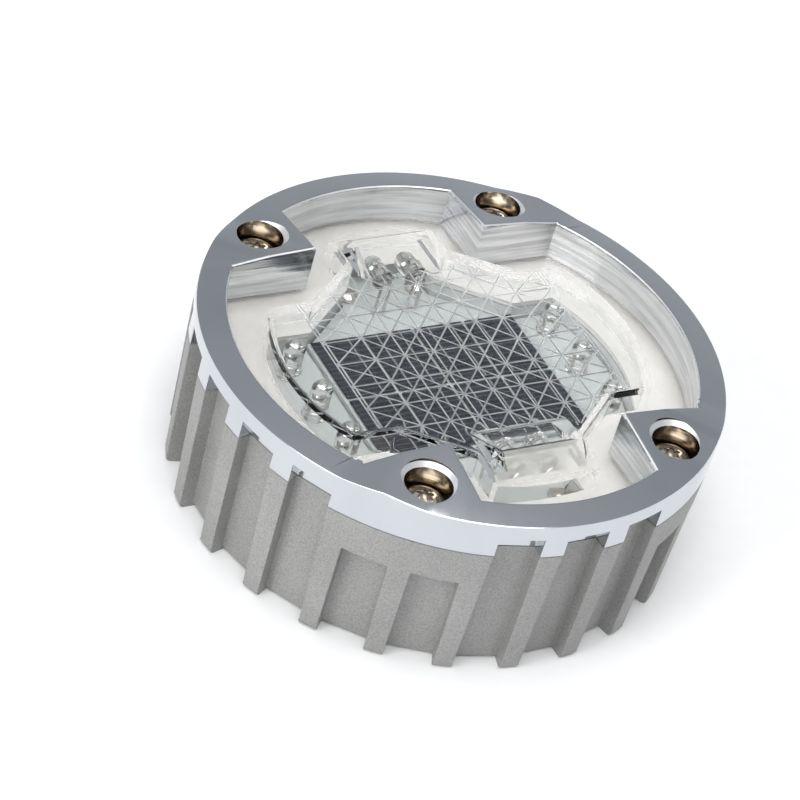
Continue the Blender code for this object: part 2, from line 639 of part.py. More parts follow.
def battery():
    """Two cells side by side along X in a shallow cradle on the housing floor."""
    pitch = 2 * BATTERY_RADIUS + BATTERY_SPACE
    axis_z = HOUSING_FLOOR + GAP + CRADLE_FLOOR + GAP + BATTERY_RADIUS
    half = BATTERY_LENGTH / 2
    shoulder = half - BATTERY_CAP_HEIGHT
    profile = [(0, -half), (BATTERY_RADIUS, -half), (BATTERY_RADIUS, shoulder), (BATTERY_CAP_RADIUS, shoulder),
               (BATTERY_CAP_RADIUS, half), (0, half)]
    mesh = turned("battery_cell", profile, SMALL_ROUND)
    for number, sy in ((1, 1), (2, -1)):
        cell = add(f"battery_cell_{number}", mesh, "battery_sleeve")
        cell.rotation_euler = (0, sy * math.pi / 2, 0)
        cell.location = (0, sy * pitch / 2, axis_z)
    inner = (BATTERY_LENGTH + 4 * GAP, 2 * pitch - BATTERY_SPACE + 4 * GAP)
    outer = (inner[0] + 2 * CRADLE_WALL, inner[1] + 2 * CRADLE_WALL)
    foot = HOUSING_FLOOR + GAP
    tray = add("battery_cradle", box("battery_cradle", (outer[0], outer[1], CRADLE_HEIGHT),
                                     (0, 0, foot + CRADLE_HEIGHT / 2)), "black_plastic")
    boolean(tray, tool("cut_cradle", box("cut_cradle", (inner[0], inner[1], CRADLE_HEIGHT),
                                         (0, 0, foot + CRADLE_FLOOR + CRADLE_HEIGHT / 2))))


def board_parts():
    """Charging chip, coil and capacitor hanging under the main board."""
    top = BOARD_FOOT - GAP
    chip = box("charge_chip", (CHIP_SIDE, CHIP_SIDE, CHIP_HEIGHT), (-2 * CHIP_SIDE, 0, top - CHIP_HEIGHT / 2))
    add("charge_chip", chip, "black_plastic")
    coil = turned("boost_coil", [(0, -COIL_HEIGHT), (COIL_RADIUS, -COIL_HEIGHT), (COIL_RADIUS, 0), (0, 0)],
                  SMALL_ROUND)
    add("boost_coil", coil, "ferrite").location = (0, 0, top)
    can = turned("storage_capacitor", [(0, -CAPACITOR_HEIGHT), (CAPACITOR_RADIUS, -CAPACITOR_HEIGHT),
                                       (CAPACITOR_RADIUS, 0), (0, 0)], SMALL_ROUND)
    add("storage_capacitor", can, "black_plastic").location = (2 * CHIP_SIDE, 0, top)


def battery_wires():
    """Two short leads beside the cells' right end, up past the cradle to the main board."""
    side_y = BATTERY_RADIUS + BATTERY_SPACE / 2
    start_x = BATTERY_LENGTH / 2 + CRADLE_WALL + WIRE_RADIUS + 3 * GAP
    start_z = HOUSING_FLOOR + GAP + CRADLE_HEIGHT
    rise = BOARD_FOOT - GAP - start_z
    for sy, colour in ((1, "red"), (-1, "black")):
        line = bpy.data.curves.new("battery_wire_" + colour, "CURVE")
        line.dimensions = "3D"
        line.bevel_depth = WIRE_RADIUS
        line.bevel_resolution = 2
        line.use_fill_caps = True
        spline = line.splines.new("POLY")
        spline.points.add(WIRE_STEPS)
        for i, point in enumerate(spline.points):
            share = i / WIRE_STEPS
            out = start_x + WIRE_BOW * math.sin(math.pi * share)
            point.co = (out, sy * (side_y - WIRE_DRAW * share), start_z + rise * share, 1)
        wire = bpy.data.objects.new("battery_wire_" + colour, line)
        bpy.context.scene.collection.objects.link(wire)
        line.materials.append(finish(colour + "_insulation"))


def build():
    """Clears the scene and makes every piece."""
    for old in list(bpy.data.objects):
        bpy.data.objects.remove(old, do_unlink=True)
    base_housing()
    top_ring()
    lens_cover()
    lens_gasket()
    cover_screws()
    board_screws()
    main_board()
    solar_panel()
    side_leds()
    end_leds()
    battery()
    board_parts()
    battery_wires()


build()
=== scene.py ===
"""Looks of the solar road stud: refined pieces, finishes, floor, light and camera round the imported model.

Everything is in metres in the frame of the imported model: origin at the middle of the bed face, +Z up,
+Y towards one of the two lamp hoods.
"""

import logging
import math
from collections.abc import Callable, Iterable, Sequence
from dataclasses import dataclass, field
from enum import Enum
from functools import cache

import bmesh
import bpy
from mathutils import Matrix, Vector


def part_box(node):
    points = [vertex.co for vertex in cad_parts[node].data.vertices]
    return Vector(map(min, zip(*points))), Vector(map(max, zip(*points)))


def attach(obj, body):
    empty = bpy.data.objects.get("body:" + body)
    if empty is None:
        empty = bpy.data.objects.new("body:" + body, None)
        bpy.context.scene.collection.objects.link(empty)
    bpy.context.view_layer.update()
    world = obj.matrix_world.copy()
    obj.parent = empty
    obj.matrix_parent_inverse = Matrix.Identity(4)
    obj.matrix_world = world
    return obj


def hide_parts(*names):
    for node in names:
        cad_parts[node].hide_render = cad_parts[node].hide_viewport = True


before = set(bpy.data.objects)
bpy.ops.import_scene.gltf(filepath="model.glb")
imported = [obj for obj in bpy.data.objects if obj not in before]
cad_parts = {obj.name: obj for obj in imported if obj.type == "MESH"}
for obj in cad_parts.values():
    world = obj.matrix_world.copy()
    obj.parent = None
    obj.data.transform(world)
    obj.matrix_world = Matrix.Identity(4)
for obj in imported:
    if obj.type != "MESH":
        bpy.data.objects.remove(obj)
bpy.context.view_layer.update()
log = logging.getLogger("road_stud")

Point2 = tuple[float, float]
Colour = tuple[float, float, float, float]
Level = tuple[float, float, bool, bool]
QUARTERS = ((1, 1), (-1, 1), (-1, -1), (1, -1))
WELD = 1e-6  # points nearer than this become one
NEAR = 0.0001  # a height or radius this near another counts as the same
CREASE = 50.0  # degrees between two faces from which an edge is rounded
ON_TABLE = WELD * 5  # how far a point of the lens table may be off its height


# ---------------------------------------------------------------- node benches
class NodeBench:
    """Lays and joins shader nodes in one tree, left to right."""

    def __init__(self, tree: bpy.types.NodeTree) -> None:
        """Starts on a tree.

        Args:
            tree: the material, world or group tree to work in.
        """
        self.tree = tree
        self.column = 0

    def add(self, kind: str, **settings: object) -> bpy.types.Node:
        """Adds one node.

        Args:
            kind: the node's type name without its ShaderNode prefix.
            settings: properties to set, such as operation or data_type.

        Returns:
            The new node.
        """
        node = self.tree.nodes.new("ShaderNode" + kind)
        node.location = (self.column * 190, -(self.column % 3) * 130)
        self.column += 1
        for name, value in settings.items():
            setattr(node, name, value)
        return node

    def join(self, source: bpy.types.NodeSocket, target: bpy.types.NodeSocket) -> None:
        """Links an output to an input."""
        self.tree.links.new(source, target)

    def sums(self, operation: str, first: object, second: object) -> bpy.types.NodeSocket:
        """Does one sum on two numbers or sockets.

        Args:
            operation: the Math node's operation.
            first: a number or a socket.
            second: a number or a socket.

        Returns:
            The socket that holds the result.
        """
        node = self.add("Math", operation=operation)
        for place, value in enumerate((first, second)):
            if isinstance(value, (int, float)):
                node.inputs[place].default_value = value
            else:
                self.join(value, node.inputs[place])
        return node.outputs[0]


class Socket(Enum):
    """Kinds of socket that a shader group offers."""

    NUMBER = "NodeSocketFloat"
    COLOUR = "NodeSocketColor"
    PLACE = "NodeSocketVector"


class Groups:
    """Shader groups shared by the finishes, each built once."""

    def start(self, name: str, takes: dict[str, Socket],
              gives: dict[str, Socket]) -> tuple[NodeBench, bpy.types.bpy_prop_collection]:
        """Begins a group with named sockets.

        Args:
            name: the group's name.
            takes: its inputs.
            gives: its outputs.

        Returns:
            A bench on the group's tree, and what the group is given.
        """
        tree = bpy.data.node_groups.new(name, "ShaderNodeTree")
        for label, kind in takes.items():
            tree.interface.new_socket(name=label, in_out="INPUT", socket_type=kind.value)
        for label, kind in gives.items():
            tree.interface.new_socket(name=label, in_out="OUTPUT", socket_type=kind.value)
        return NodeBench(tree), tree.nodes.new("NodeGroupInput").outputs

    def end(self, bench: NodeBench, **results: bpy.types.NodeSocket) -> bpy.types.NodeTree:
        """Ends a group.

        Args:
            bench: the bench that start gave.
            results: the socket that feeds each of its outputs.

        Returns:
            The finished group.
        """
        ends = bench.tree.nodes.new("NodeGroupOutput").inputs
        for name, source in results.items():
            bench.join(source, ends[name])
        return bench.tree

    @cache
    def tone_drift(self) -> bpy.types.NodeTree:
        """A slow wander between two colours, as on handled or cast surfaces.

        Returns:
            The group: Place, First, Second, Scale and Spread in, Color out.
        """
        bench, given = self.start(
            "tone_drift",
            {"Place": Socket.PLACE, "First": Socket.COLOUR, "Second": Socket.COLOUR, "Scale": Socket.NUMBER,
             "Spread": Socket.NUMBER},
            {"Color": Socket.COLOUR})
        noise = bench.add("TexNoise", noise_dimensions="3D")
        noise.inputs["Detail"].default_value = 4
        bench.join(given["Place"], noise.inputs["Vector"])
        bench.join(given["Scale"], noise.inputs["Scale"])
        centred = bench.sums("SUBTRACT", noise.outputs["Fac"], 0.5)
        spread = bench.sums("MULTIPLY", centred, given["Spread"])
        share = bench.sums("ADD", spread, 0.5)
        mix = bench.add("Mix", data_type="RGBA", clamp_factor=True)
        bench.join(share, mix.inputs["Factor"])
        bench.join(given["First"], mix.inputs["A"])
        bench.join(given["Second"], mix.inputs["B"])
        return self.end(bench, Color=mix.outputs["Result"])

    @cache
    def blast_grain(self) -> bpy.types.NodeTree:
        """Fine pits and peaks, as bead blasting leaves on a casting.

        Returns:
            The group: Place, Scale and Coarse in, Height and Mask out.
        """
        bench, given = self.start(
            "blast_grain",
            {"Place": Socket.PLACE, "Scale": Socket.NUMBER, "Coarse": Socket.NUMBER},
            {"Height": Socket.NUMBER, "Mask": Socket.NUMBER})
        pits = bench.add("TexVoronoi", feature="SMOOTH_F1")
        bench.join(given["Place"], pits.inputs["Vector"])
        bench.join(given["Scale"], pits.inputs["Scale"])
        rough = bench.add("TexNoise")
        rough.inputs["Detail"].default_value = 6
        bench.join(given["Place"], rough.inputs["Vector"])
        bench.join(bench.sums("MULTIPLY", given["Scale"], 0.55), rough.inputs["Scale"])
        lift = bench.sums("MULTIPLY", rough.outputs["Fac"], given["Coarse"])
        height = bench.sums("ADD", pits.outputs["Distance"], lift)
        mask = bench.add("MapRange")
        mask.inputs["From Min"].default_value = 0.25
        mask.inputs["From Max"].default_value = 1.05
        bench.join(height, mask.inputs["Value"])
        return self.end(bench, Height=height, Mask=mask.outputs["Result"])

    @cache
    def polish_marks(self) -> bpy.types.NodeTree:
        """Fine turning lines about Z with faint hazy patches between them.

        Returns:
            The group: Place, Pitch, Base and Haze in, Height and Roughness out.
        """
        bench, given = self.start(
            "polish_marks",
            {"Place": Socket.PLACE, "Pitch": Socket.NUMBER, "Base": Socket.NUMBER, "Haze": Socket.NUMBER},
            {"Height": Socket.NUMBER, "Roughness": Socket.NUMBER})
        rings = bench.add("TexWave", wave_type="RINGS", rings_direction="Z", wave_profile="SIN")
        rings.inputs["Distortion"].default_value = 1.5
        rings.inputs["Detail"].default_value = 3
        bench.join(given["Place"], rings.inputs["Vector"])
        bench.join(given["Pitch"], rings.inputs["Scale"])
        haze = bench.add("TexNoise")
        haze.inputs["Detail"].default_value = 5
        haze.inputs["Scale"].default_value = 70
        bench.join(given["Place"], haze.inputs["Vector"])
        wander = bench.sums("MULTIPLY", haze.outputs["Fac"], given["Haze"])
        rough = bench.sums("ADD", wander, given["Base"])
        return self.end(bench, Height=rings.outputs["Fac"], Roughness=rough)

    @cache
    def wall_streaks(self) -> bpy.types.NodeTree:
        """Uneven level streaks, as a cutter leaves on an upright wall.

        Returns:
            The group: Place and Scale in, Height and Mask out.
        """
        bench, given = self.start(
            "wall_streaks",
            {"Place": Socket.PLACE, "Scale": Socket.NUMBER},
            {"Height": Socket.NUMBER, "Mask": Socket.NUMBER})
        squash = bench.add("Mapping")
        squash.inputs["Scale"].default_value = (0.05, 0.05, 1.0)
        bench.join(given["Place"], squash.inputs["Vector"])
        streaks = bench.add("TexNoise")
        streaks.inputs["Detail"].default_value = 4
        bench.join(squash.outputs["Vector"], streaks.inputs["Vector"])
        bench.join(given["Scale"], streaks.inputs["Scale"])
        ramp = bench.add("ValToRGB")
        ramp.color_ramp.elements[0].position = 0.36
        ramp.color_ramp.elements[1].position = 0.62
        bench.join(streaks.outputs["Fac"], ramp.inputs["Fac"])
        return self.end(bench, Height=streaks.outputs["Fac"], Mask=ramp.outputs["Color"])

    @cache
    def edge_lines(self) -> bpy.types.NodeTree:
        """Thin straight lines along X, one at every pitch of Y, as printed fingers on a cell.

        Returns:
            The group: Place, Pitch and Width in, Mask out.
        """
        bench, given = self.start(
            "edge_lines",
            {"Place": Socket.PLACE, "Pitch": Socket.NUMBER, "Width": Socket.NUMBER},
            {"Mask": Socket.NUMBER})
        split = bench.add("SeparateXYZ")
        bench.join(given["Place"], split.inputs[0])
        turns = bench.sums("DIVIDE", split.outputs["Y"], given["Pitch"])
        within = bench.sums("FRACT", turns, 0.0)
        from_middle = bench.sums("ABSOLUTE", bench.sums("SUBTRACT", within, 0.5), 0.0)
        line = bench.sums("LESS_THAN", from_middle, given["Width"])
        return self.end(bench, Mask=line)


GROUPS = Groups()


# ---------------------------------------------------------------- finishes
class Dress:
    """A material in the making: its tree, its Principled shader and the shared groups round it."""

    def __init__(self, name: str) -> None:
        """Starts an empty dressed material.

        Args:
            name: the material's name.
        """
        self.material = bpy.data.materials.new(name)
        self.material.use_nodes = True
        tree = self.material.node_tree
        self.bench = NodeBench(tree)
        self.shader = tree.nodes["Principled BSDF"]
        self.output = tree.nodes["Material Output"]
        self.shader.location = (1100, 0)
        self.output.location = (1600, 0)
        self.place = self.bench.add("TexCoord").outputs["Object"]

    def group(self, tree: bpy.types.NodeTree, **values: object) -> bpy.types.Node:
        """Places a shared group with its own values.

        Args:
            tree: the group.
            values: numbers and colours for its named inputs.

        Returns:
            The group node, fed with Object coordinates.
        """
        node = self.bench.add("Group", node_tree=tree)
        self.bench.join(self.place, node.inputs["Place"])
        for name, value in values.items():
            node.inputs[name].default_value = value
        return node

    def wear(self, source: bpy.types.NodeSocket, socket: str) -> None:
        """Feeds one input of the shader."""
        self.bench.join(source, self.shader.inputs[socket])

    def bump(self, height: bpy.types.NodeSocket, strength: float, distance: float) -> None:
        """Feeds the shader's normal from a height.

        Args:
            height: the height's socket.
            strength: how much of the bump shows.
            distance: the height's real size, in metres.
        """
        node = self.bench.add("Bump")
        node.inputs["Strength"].default_value = strength
        node.inputs["Distance"].default_value = distance
        self.bench.join(height, node.inputs["Height"])
        self.wear(node.outputs["Normal"], "Normal")

    def plain(self, **values: float) -> None:
        """Sets numbers that are the same all over the surface, by input name with _ for a space."""
        for name, value in values.items():
            self.shader.inputs[name.replace("_", " ")].default_value = value


@dataclass(frozen=True)
class PolishedMetal:
    """Machined and polished metal with faint turning lines."""

    name: str
    first: Colour
    second: Colour
    roughness: float
    haze: float = 0.06
    pitch: float = 900.0
    depth: float = 2e-6
    streaks: float = 0.0
    streak_scale: float = 900.0
    streak_shade: float = 0.32

    def build(self) -> bpy.types.Material:
        """Returns the finished material."""
        dress = Dress(self.name)
        dress.plain(Metallic=1.0)
        drift = dress.group(GROUPS.tone_drift(), First=self.first, Second=self.second, Scale=45.0, Spread=1.6)
        marks = dress.group(GROUPS.polish_marks(), Pitch=self.pitch, Base=self.roughness, Haze=self.haze)
        dress.wear(marks.outputs["Roughness"], "Roughness")
        tone, height = drift.outputs["Color"], marks.outputs["Height"]
        if self.streaks:
            level = dress.group(GROUPS.wall_streaks(), Scale=self.streak_scale)
            shade = dress.bench.add("Mix", data_type="RGBA", blend_type="MULTIPLY")
            shade.inputs["Factor"].default_value = self.streak_shade
            dress.bench.join(tone, shade.inputs["A"])
            dress.bench.join(level.outputs["Mask"], shade.inputs["B"])
            tone = shade.outputs["Result"]
            height = dress.bench.sums("ADD", height, dress.bench.sums("MULTIPLY", level.outputs["Height"],
                                                                      self.streaks))
        dress.wear(tone, "Base Color")
        dress.bump(height, 0.35, self.depth)
        return dress.material


@dataclass(frozen=True)
class GrainyFinish:
    """A surface with an even fine grain: blasted castings, moulded plastics, silicone, solder mask."""

    name: str
    first: Colour
    second: Colour
    roughness: float
    metallic: float = 0.0
    scale: float = 2200.0
    coarse: float = 0.9
    strength: float = 0.6
    depth: float = 6e-5
    speckle: float = 0.35
    drift_scale: float = 60.0

    def build(self) -> bpy.types.Material:
        """Returns the finished material."""
        dress = Dress(self.name)
        dress.plain(Metallic=self.metallic)
        drift = dress.group(GROUPS.tone_drift(), First=self.first, Second=self.second, Scale=self.drift_scale,
                            Spread=1.8)
        grain = dress.group(GROUPS.blast_grain(), Scale=self.scale, Coarse=self.coarse)
        shade = dress.bench.add("Mix", data_type="RGBA", blend_type="MULTIPLY")
        shade.inputs["Factor"].default_value = self.speckle
        dress.bench.join(drift.outputs["Color"], shade.inputs["A"])
        dress.bench.join(grain.outputs["Mask"], shade.inputs["B"])
        dress.wear(shade.outputs["Result"], "Base Color")
        marks = dress.group(GROUPS.polish_marks(), Pitch=400.0, Base=self.roughness - 0.06, Haze=0.12)
        dress.wear(marks.outputs["Roughness"], "Roughness")
        dress.bump(grain.outputs["Height"], self.strength, self.depth)
        return dress.material


@dataclass(frozen=True)
class ClearMoulding:
    """Clear plastic that bends what is seen through it, and lets light pass to what it covers."""

    name: str
    tint: Colour
    roughness: float
    ior: float
    ripple: float = 0.10
    frost: float = 0.0
    pass_tint: float = 0.97

    def build(self) -> bpy.types.Material:
        """Returns the finished material."""
        dress = Dress(self.name)
        dress.plain(Metallic=0.0, IOR=self.ior, Transmission_Weight=1.0 - self.frost)
        dress.shader.inputs["Base Color"].default_value = self.tint
        haze = dress.group(GROUPS.polish_marks(), Pitch=260.0, Base=self.roughness, Haze=0.03)
        dress.wear(haze.outputs["Roughness"], "Roughness")
        flow = dress.group(GROUPS.blast_grain(), Scale=130.0, Coarse=1.2)
        dress.bump(flow.outputs["Height"], self.ripple, 1.5e-4)
        clear = dress.bench.add("BsdfTransparent")
        clear.inputs["Color"].default_value = (self.pass_tint, self.pass_tint, self.pass_tint, 1)
        ray = dress.bench.add("LightPath")
        mix = dress.bench.add("MixShader")
        dress.bench.join(ray.outputs["Is Shadow Ray"], mix.inputs["Fac"])
        dress.bench.join(dress.shader.outputs["BSDF"], mix.inputs[1])
        dress.bench.join(clear.outputs["BSDF"], mix.inputs[2])
        dress.bench.join(mix.outputs["Shader"], dress.output.inputs["Surface"])
        return dress.material


@dataclass(frozen=True)
class SiliconCell:
    """Dark crystalline cell with printed silver fingers."""

    name: str
    first: Colour
    second: Colour
    finger: Colour
    finger_pitch: float = 0.0016
    finger_share: float = 0.045

    def build(self) -> bpy.types.Material:
        """Returns the finished material."""
        dress = Dress(self.name)
        dress.plain(Metallic=0.0, Specular_IOR_Level=0.15)
        crystals = dress.bench.add("TexVoronoi")
        crystals.inputs["Scale"].default_value = 420
        dress.bench.join(dress.place, crystals.inputs["Vector"])
        facets = dress.bench.add("SeparateColor")
        dress.bench.join(crystals.outputs["Color"], facets.inputs["Color"])
        silicon = dress.bench.add("Mix", data_type="RGBA")
        silicon.inputs["A"].default_value = self.first
        silicon.inputs["B"].default_value = self.second
        dress.bench.join(facets.outputs["Red"], silicon.inputs["Factor"])
        lines = dress.group(GROUPS.edge_lines(), Pitch=self.finger_pitch, Width=self.finger_share)
        printed = dress.bench.add("Mix", data_type="RGBA")
        printed.inputs["B"].default_value = self.finger
        dress.bench.join(silicon.outputs["Result"], printed.inputs["A"])
        dress.bench.join(lines.outputs["Mask"], printed.inputs["Factor"])
        dress.wear(printed.outputs["Result"], "Base Color")
        marks = dress.group(GROUPS.polish_marks(), Pitch=500.0, Base=0.42, Haze=0.12)
        dress.wear(marks.outputs["Roughness"], "Roughness")
        grain = dress.group(GROUPS.blast_grain(), Scale=1500.0, Coarse=0.6)
        dress.bump(grain.outputs["Height"], 0.25, 3e-5)
        return dress.material


class Finishes:
    """Every finish on the stud, built on first use."""

    KINDS = {kind.name: kind for kind in (
        PolishedMetal("ring_polish", (0.59, 0.61, 0.64, 1), (0.52, 0.54, 0.58, 1), 0.10),
        # The lips' finish is a lighter, rougher copy of the ring's own metal: a painted highlight that stands in for
        # the bright line the lamps draw along the rounded lips.
        PolishedMetal("ring_lip_painted_highlight", (0.95, 0.95, 0.96, 1), (0.88, 0.89, 0.90, 1), 0.42, depth=3e-6),
        PolishedMetal("ring_wall", (0.78, 0.79, 0.81, 1), (0.66, 0.68, 0.71, 1), 0.10, depth=4e-6,
                                   streaks=55.0),
        PolishedMetal("bore_nickel", (0.60, 0.53, 0.44, 1), (0.36, 0.30, 0.23, 1), 0.12,
                                     pitch=2200.0, depth=3e-6, streaks=30.0, streak_scale=1400.0),
        PolishedMetal("screw_nickel", (0.78, 0.75, 0.70, 1), (0.64, 0.60, 0.54, 1), 0.13,
                                      pitch=1800.0),
        PolishedMetal("lead_steel", (0.70, 0.69, 0.66, 1), (0.60, 0.58, 0.55, 1), 0.22, pitch=2400.0),
        GrainyFinish("blasted_casting", (0.39, 0.39, 0.38, 1), (0.33, 0.33, 0.32, 1), 0.62,
                                        metallic=0.45, scale=3200.0, speckle=0.42),
        # The well's finish is a plain grey, lighter than the casting: painted light that lifts the shade inside the
        # well.
        GrainyFinish("well_painted_light", (0.44, 0.455, 0.45, 1), (0.38, 0.395, 0.39, 1), 0.48, scale=1800.0,
                                  strength=0.2, speckle=0.10),
        GrainyFinish("gasket_silicone", (0.60, 0.59, 0.57, 1), (0.50, 0.49, 0.47, 1), 0.55,
                                        scale=900.0, strength=0.2, speckle=0.06),
        GrainyFinish("board_mask", (0.37, 0.39, 0.385, 1), (0.33, 0.35, 0.343, 1), 0.42, scale=1500.0,
                                   strength=0.12, speckle=0.08),
        GrainyFinish("battery_sleeve", (0.10, 0.30, 0.17, 1), (0.07, 0.24, 0.13, 1), 0.38,
                                       scale=700.0, strength=0.15, speckle=0.15),
        GrainyFinish("cradle_plastic", (0.035, 0.035, 0.038, 1), (0.022, 0.022, 0.024, 1), 0.52,
                                       scale=1600.0, strength=0.5),
        GrainyFinish("ferrite_core", (0.10, 0.10, 0.11, 1), (0.07, 0.07, 0.075, 1), 0.66,
                                     scale=2600.0, strength=0.8),
        GrainyFinish("chip_epoxy", (0.045, 0.045, 0.05, 1), (0.03, 0.03, 0.033, 1), 0.58,
                                   scale=2800.0, strength=0.5),
        GrainyFinish("red_insulation", (0.62, 0.05, 0.04, 1), (0.50, 0.04, 0.03, 1), 0.42,
                                       scale=900.0, strength=0.15, speckle=0.12),
        GrainyFinish("black_insulation", (0.035, 0.035, 0.035, 1), (0.025, 0.025, 0.025, 1),
                                         0.42, scale=900.0, strength=0.15, speckle=0.12),
        ClearMoulding("lens_clear", (0.985, 0.99, 0.99, 1), 0.012, 1.34),
        ClearMoulding("lens_etched", (0.82, 0.83, 0.85, 1), 0.28, 1.34, frost=0.22),
        ClearMoulding("lens_window", (0.84, 0.82, 0.78, 1), 0.34, 1.34, ripple=0.0, frost=0.32),
        ClearMoulding("lamp_epoxy", (0.99, 0.99, 0.98, 1), 0.02, 1.52, ripple=0.2),
        SiliconCell("cell_silicon", (0.003, 0.004, 0.006, 1), (0.012, 0.014, 0.020, 1),
                                    (0.10, 0.105, 0.12, 1)),
    )}

    def __init__(self) -> None:
        """Starts with nothing built."""
        self.built: dict[str, bpy.types.Material] = {}

    def get(self, name: str) -> bpy.types.Material:
        """Returns the finish of that name, building it the first time."""
        if name not in self.built:
            self.built[name] = self.KINDS[name].build()
        return self.built[name]


FINISHES = Finishes()


# ---------------------------------------------------------------- shapes
class Shape:
    """A mesh in the making, shaped by bmesh operators."""

    def __init__(self) -> None:
        """Starts empty."""
        self.bm = bmesh.new()

    @classmethod
    def turned(cls, profile: Sequence[Point2], steps: int = 96) -> "Shape":
        """A solid of revolution about Z.

        Args:
            profile: (radius, height) points, with both ends on the axis or closed on itself.
            steps: sides of the result.

        Returns:
            The closed shape.
        """
        shape = cls()
        points = [shape.bm.verts.new((radius, 0, height)) for radius, height in profile]
        edges = [shape.bm.edges.new(pair) for pair in zip(points, points[1:])]
        if profile[0][0] > 0:
            edges.append(shape.bm.edges.new((points[-1], points[0])))
        bmesh.ops.spin(shape.bm, geom=points + edges, cent=(0, 0, 0), axis=(0, 0, 1), angle=math.tau, steps=steps,
                       use_merge=True)
        return shape.weld()

    @classmethod
    def prism(cls, outline: Sequence[Point2], low: float, high: float) -> "Shape":
        """An outline in X and Y, extruded from low to high.

        Args:
            outline: its corners in order.
            low: the height of its foot.
            high: the height of its top.

        Returns:
            The closed shape.
        """
        shape = cls()
        face = shape.bm.faces.new([shape.bm.verts.new((x, y, low)) for x, y in outline])
        grown = bmesh.ops.extrude_face_region(shape.bm, geom=[face])["geom"]
        moved = [item for item in grown if isinstance(item, bmesh.types.BMVert)]
        bmesh.ops.translate(shape.bm, verts=moved, vec=(0, 0, high - low))
        return shape.weld()

    @classmethod
    def loft(cls, levels: Sequence[tuple[Sequence[Point2], float]]) -> "Shape":
        """A solid through outlines with the same number of corners, from the lowest up.

        Args:
            levels: each outline and its height.

        Returns:
            The closed shape.
        """
        shape = cls()
        outline, height = levels[0]
        face = shape.bm.faces.new([shape.bm.verts.new((x, y, height)) for x, y in outline])
        for outline, height in levels[1:]:
            grown = bmesh.ops.extrude_discrete_faces(shape.bm, faces=[face])["faces"]
            face = grown[0]
            for vert, (x, y) in zip(face.verts, outline):
                vert.co = Vector((x, y, height))
        outline, height = levels[0]
        shape.bm.faces.new([next(v for v in shape.bm.verts if (v.co - Vector((x, y, height))).length < WELD / 10)
                            for x, y in outline])
        return shape.weld()

    @classmethod
    def block(cls, size: Sequence[float], centre: Sequence[float]) -> "Shape":
        """A block about its centre."""
        shape = cls()
        bmesh.ops.create_cube(shape.bm, size=1)
        bmesh.ops.scale(shape.bm, verts=shape.bm.verts[:], vec=size)
        return shape.move(centre)

    @classmethod
    def hull(cls, points: Iterable[Sequence[float]]) -> "Shape":
        """The convex solid round some points."""
        shape = cls()
        corners = [shape.bm.verts.new(point) for point in points]
        made = bmesh.ops.convex_hull(shape.bm, input=corners)
        unused = [item for item in made["geom_interior"] if isinstance(item, bmesh.types.BMVert)]
        bmesh.ops.delete(shape.bm, geom=unused, context="VERTS")
        return shape.clean(0.5)

    def weld(self) -> "Shape":
        """Merges doubles and turns every face outwards."""
        bmesh.ops.remove_doubles(self.bm, verts=self.bm.verts[:], dist=WELD)
        bmesh.ops.recalc_face_normals(self.bm, faces=self.bm.faces[:])
        if self.bm.calc_volume(signed=True) < 0:
            bmesh.ops.reverse_faces(self.bm, faces=self.bm.faces[:])
        return self

    def move(self, offset: Sequence[float]) -> "Shape":
        """Moves the whole shape."""
        bmesh.ops.translate(self.bm, verts=self.bm.verts[:], vec=offset)
        return self

    def turn(self, degrees: float, axis: str) -> "Shape":
        """Turns the whole shape about an axis through the origin."""
        bmesh.ops.rotate(self.bm, verts=self.bm.verts[:], cent=(0, 0, 0),
                         matrix=Matrix.Rotation(math.radians(degrees), 3, axis))
        return self

    def round_edges(self, loop: Sequence[bmesh.types.BMVert]) -> list[bmesh.types.BMEdge]:
        """The edges between the points of a loop."""
        known = set(loop)
        return [edge for edge in self.bm.edges if known.issuperset(edge.verts)]

    def grow(self, loop: Sequence[bmesh.types.BMVert]) -> list[bmesh.types.BMVert]:
        """Extrudes a loop of points, and returns the new loop in the same order."""
        grown = bmesh.ops.extrude_edge_only(self.bm, edges=self.round_edges(loop))["geom"]
        fresh = {item for item in grown if isinstance(item, bmesh.types.BMVert)}
        return [next(edge.other_vert(vert) for edge in vert.link_edges if edge.other_vert(vert) in fresh)
                for vert in loop]

    def absorb(self, *others: "Shape") -> "Shape":
        """Takes other shapes in beside this one, without cutting."""
        for other in others:
            mesh = bpy.data.meshes.new("absorbed")
            other.bm.to_mesh(mesh)
            self.bm.from_mesh(mesh)
            bpy.data.meshes.remove(mesh)
        return self

    def paint(self, finish: int, wanted: Callable[[bmesh.types.BMFace], bool]) -> "Shape":
        """Gives the faces that fit a test another finish, by its place in the piece's list."""
        for face in self.bm.faces:
            if wanted(face):
                face.material_index = finish
        return self

    def soften(self, width: float, wanted: Callable[[bmesh.types.BMEdge], bool], segments: int = 2,
               clamp: bool = True) -> "Shape":
        """Rounds the edges that fit a test.

        Args:
            width: how far the rounding reaches from the edge.
            wanted: the test.
            segments: faces across the rounding.
            clamp: whether the rounding shrinks where edges are short.

        Returns:
            The shape itself.
        """
        edges = [edge for edge in self.bm.edges if len(edge.link_faces) == 2 and wanted(edge)]
        bmesh.ops.bevel(self.bm, geom=edges, offset=width, affect="EDGES", segments=segments, profile=0.5,
                        clamp_overlap=clamp, material=-1)
        return self

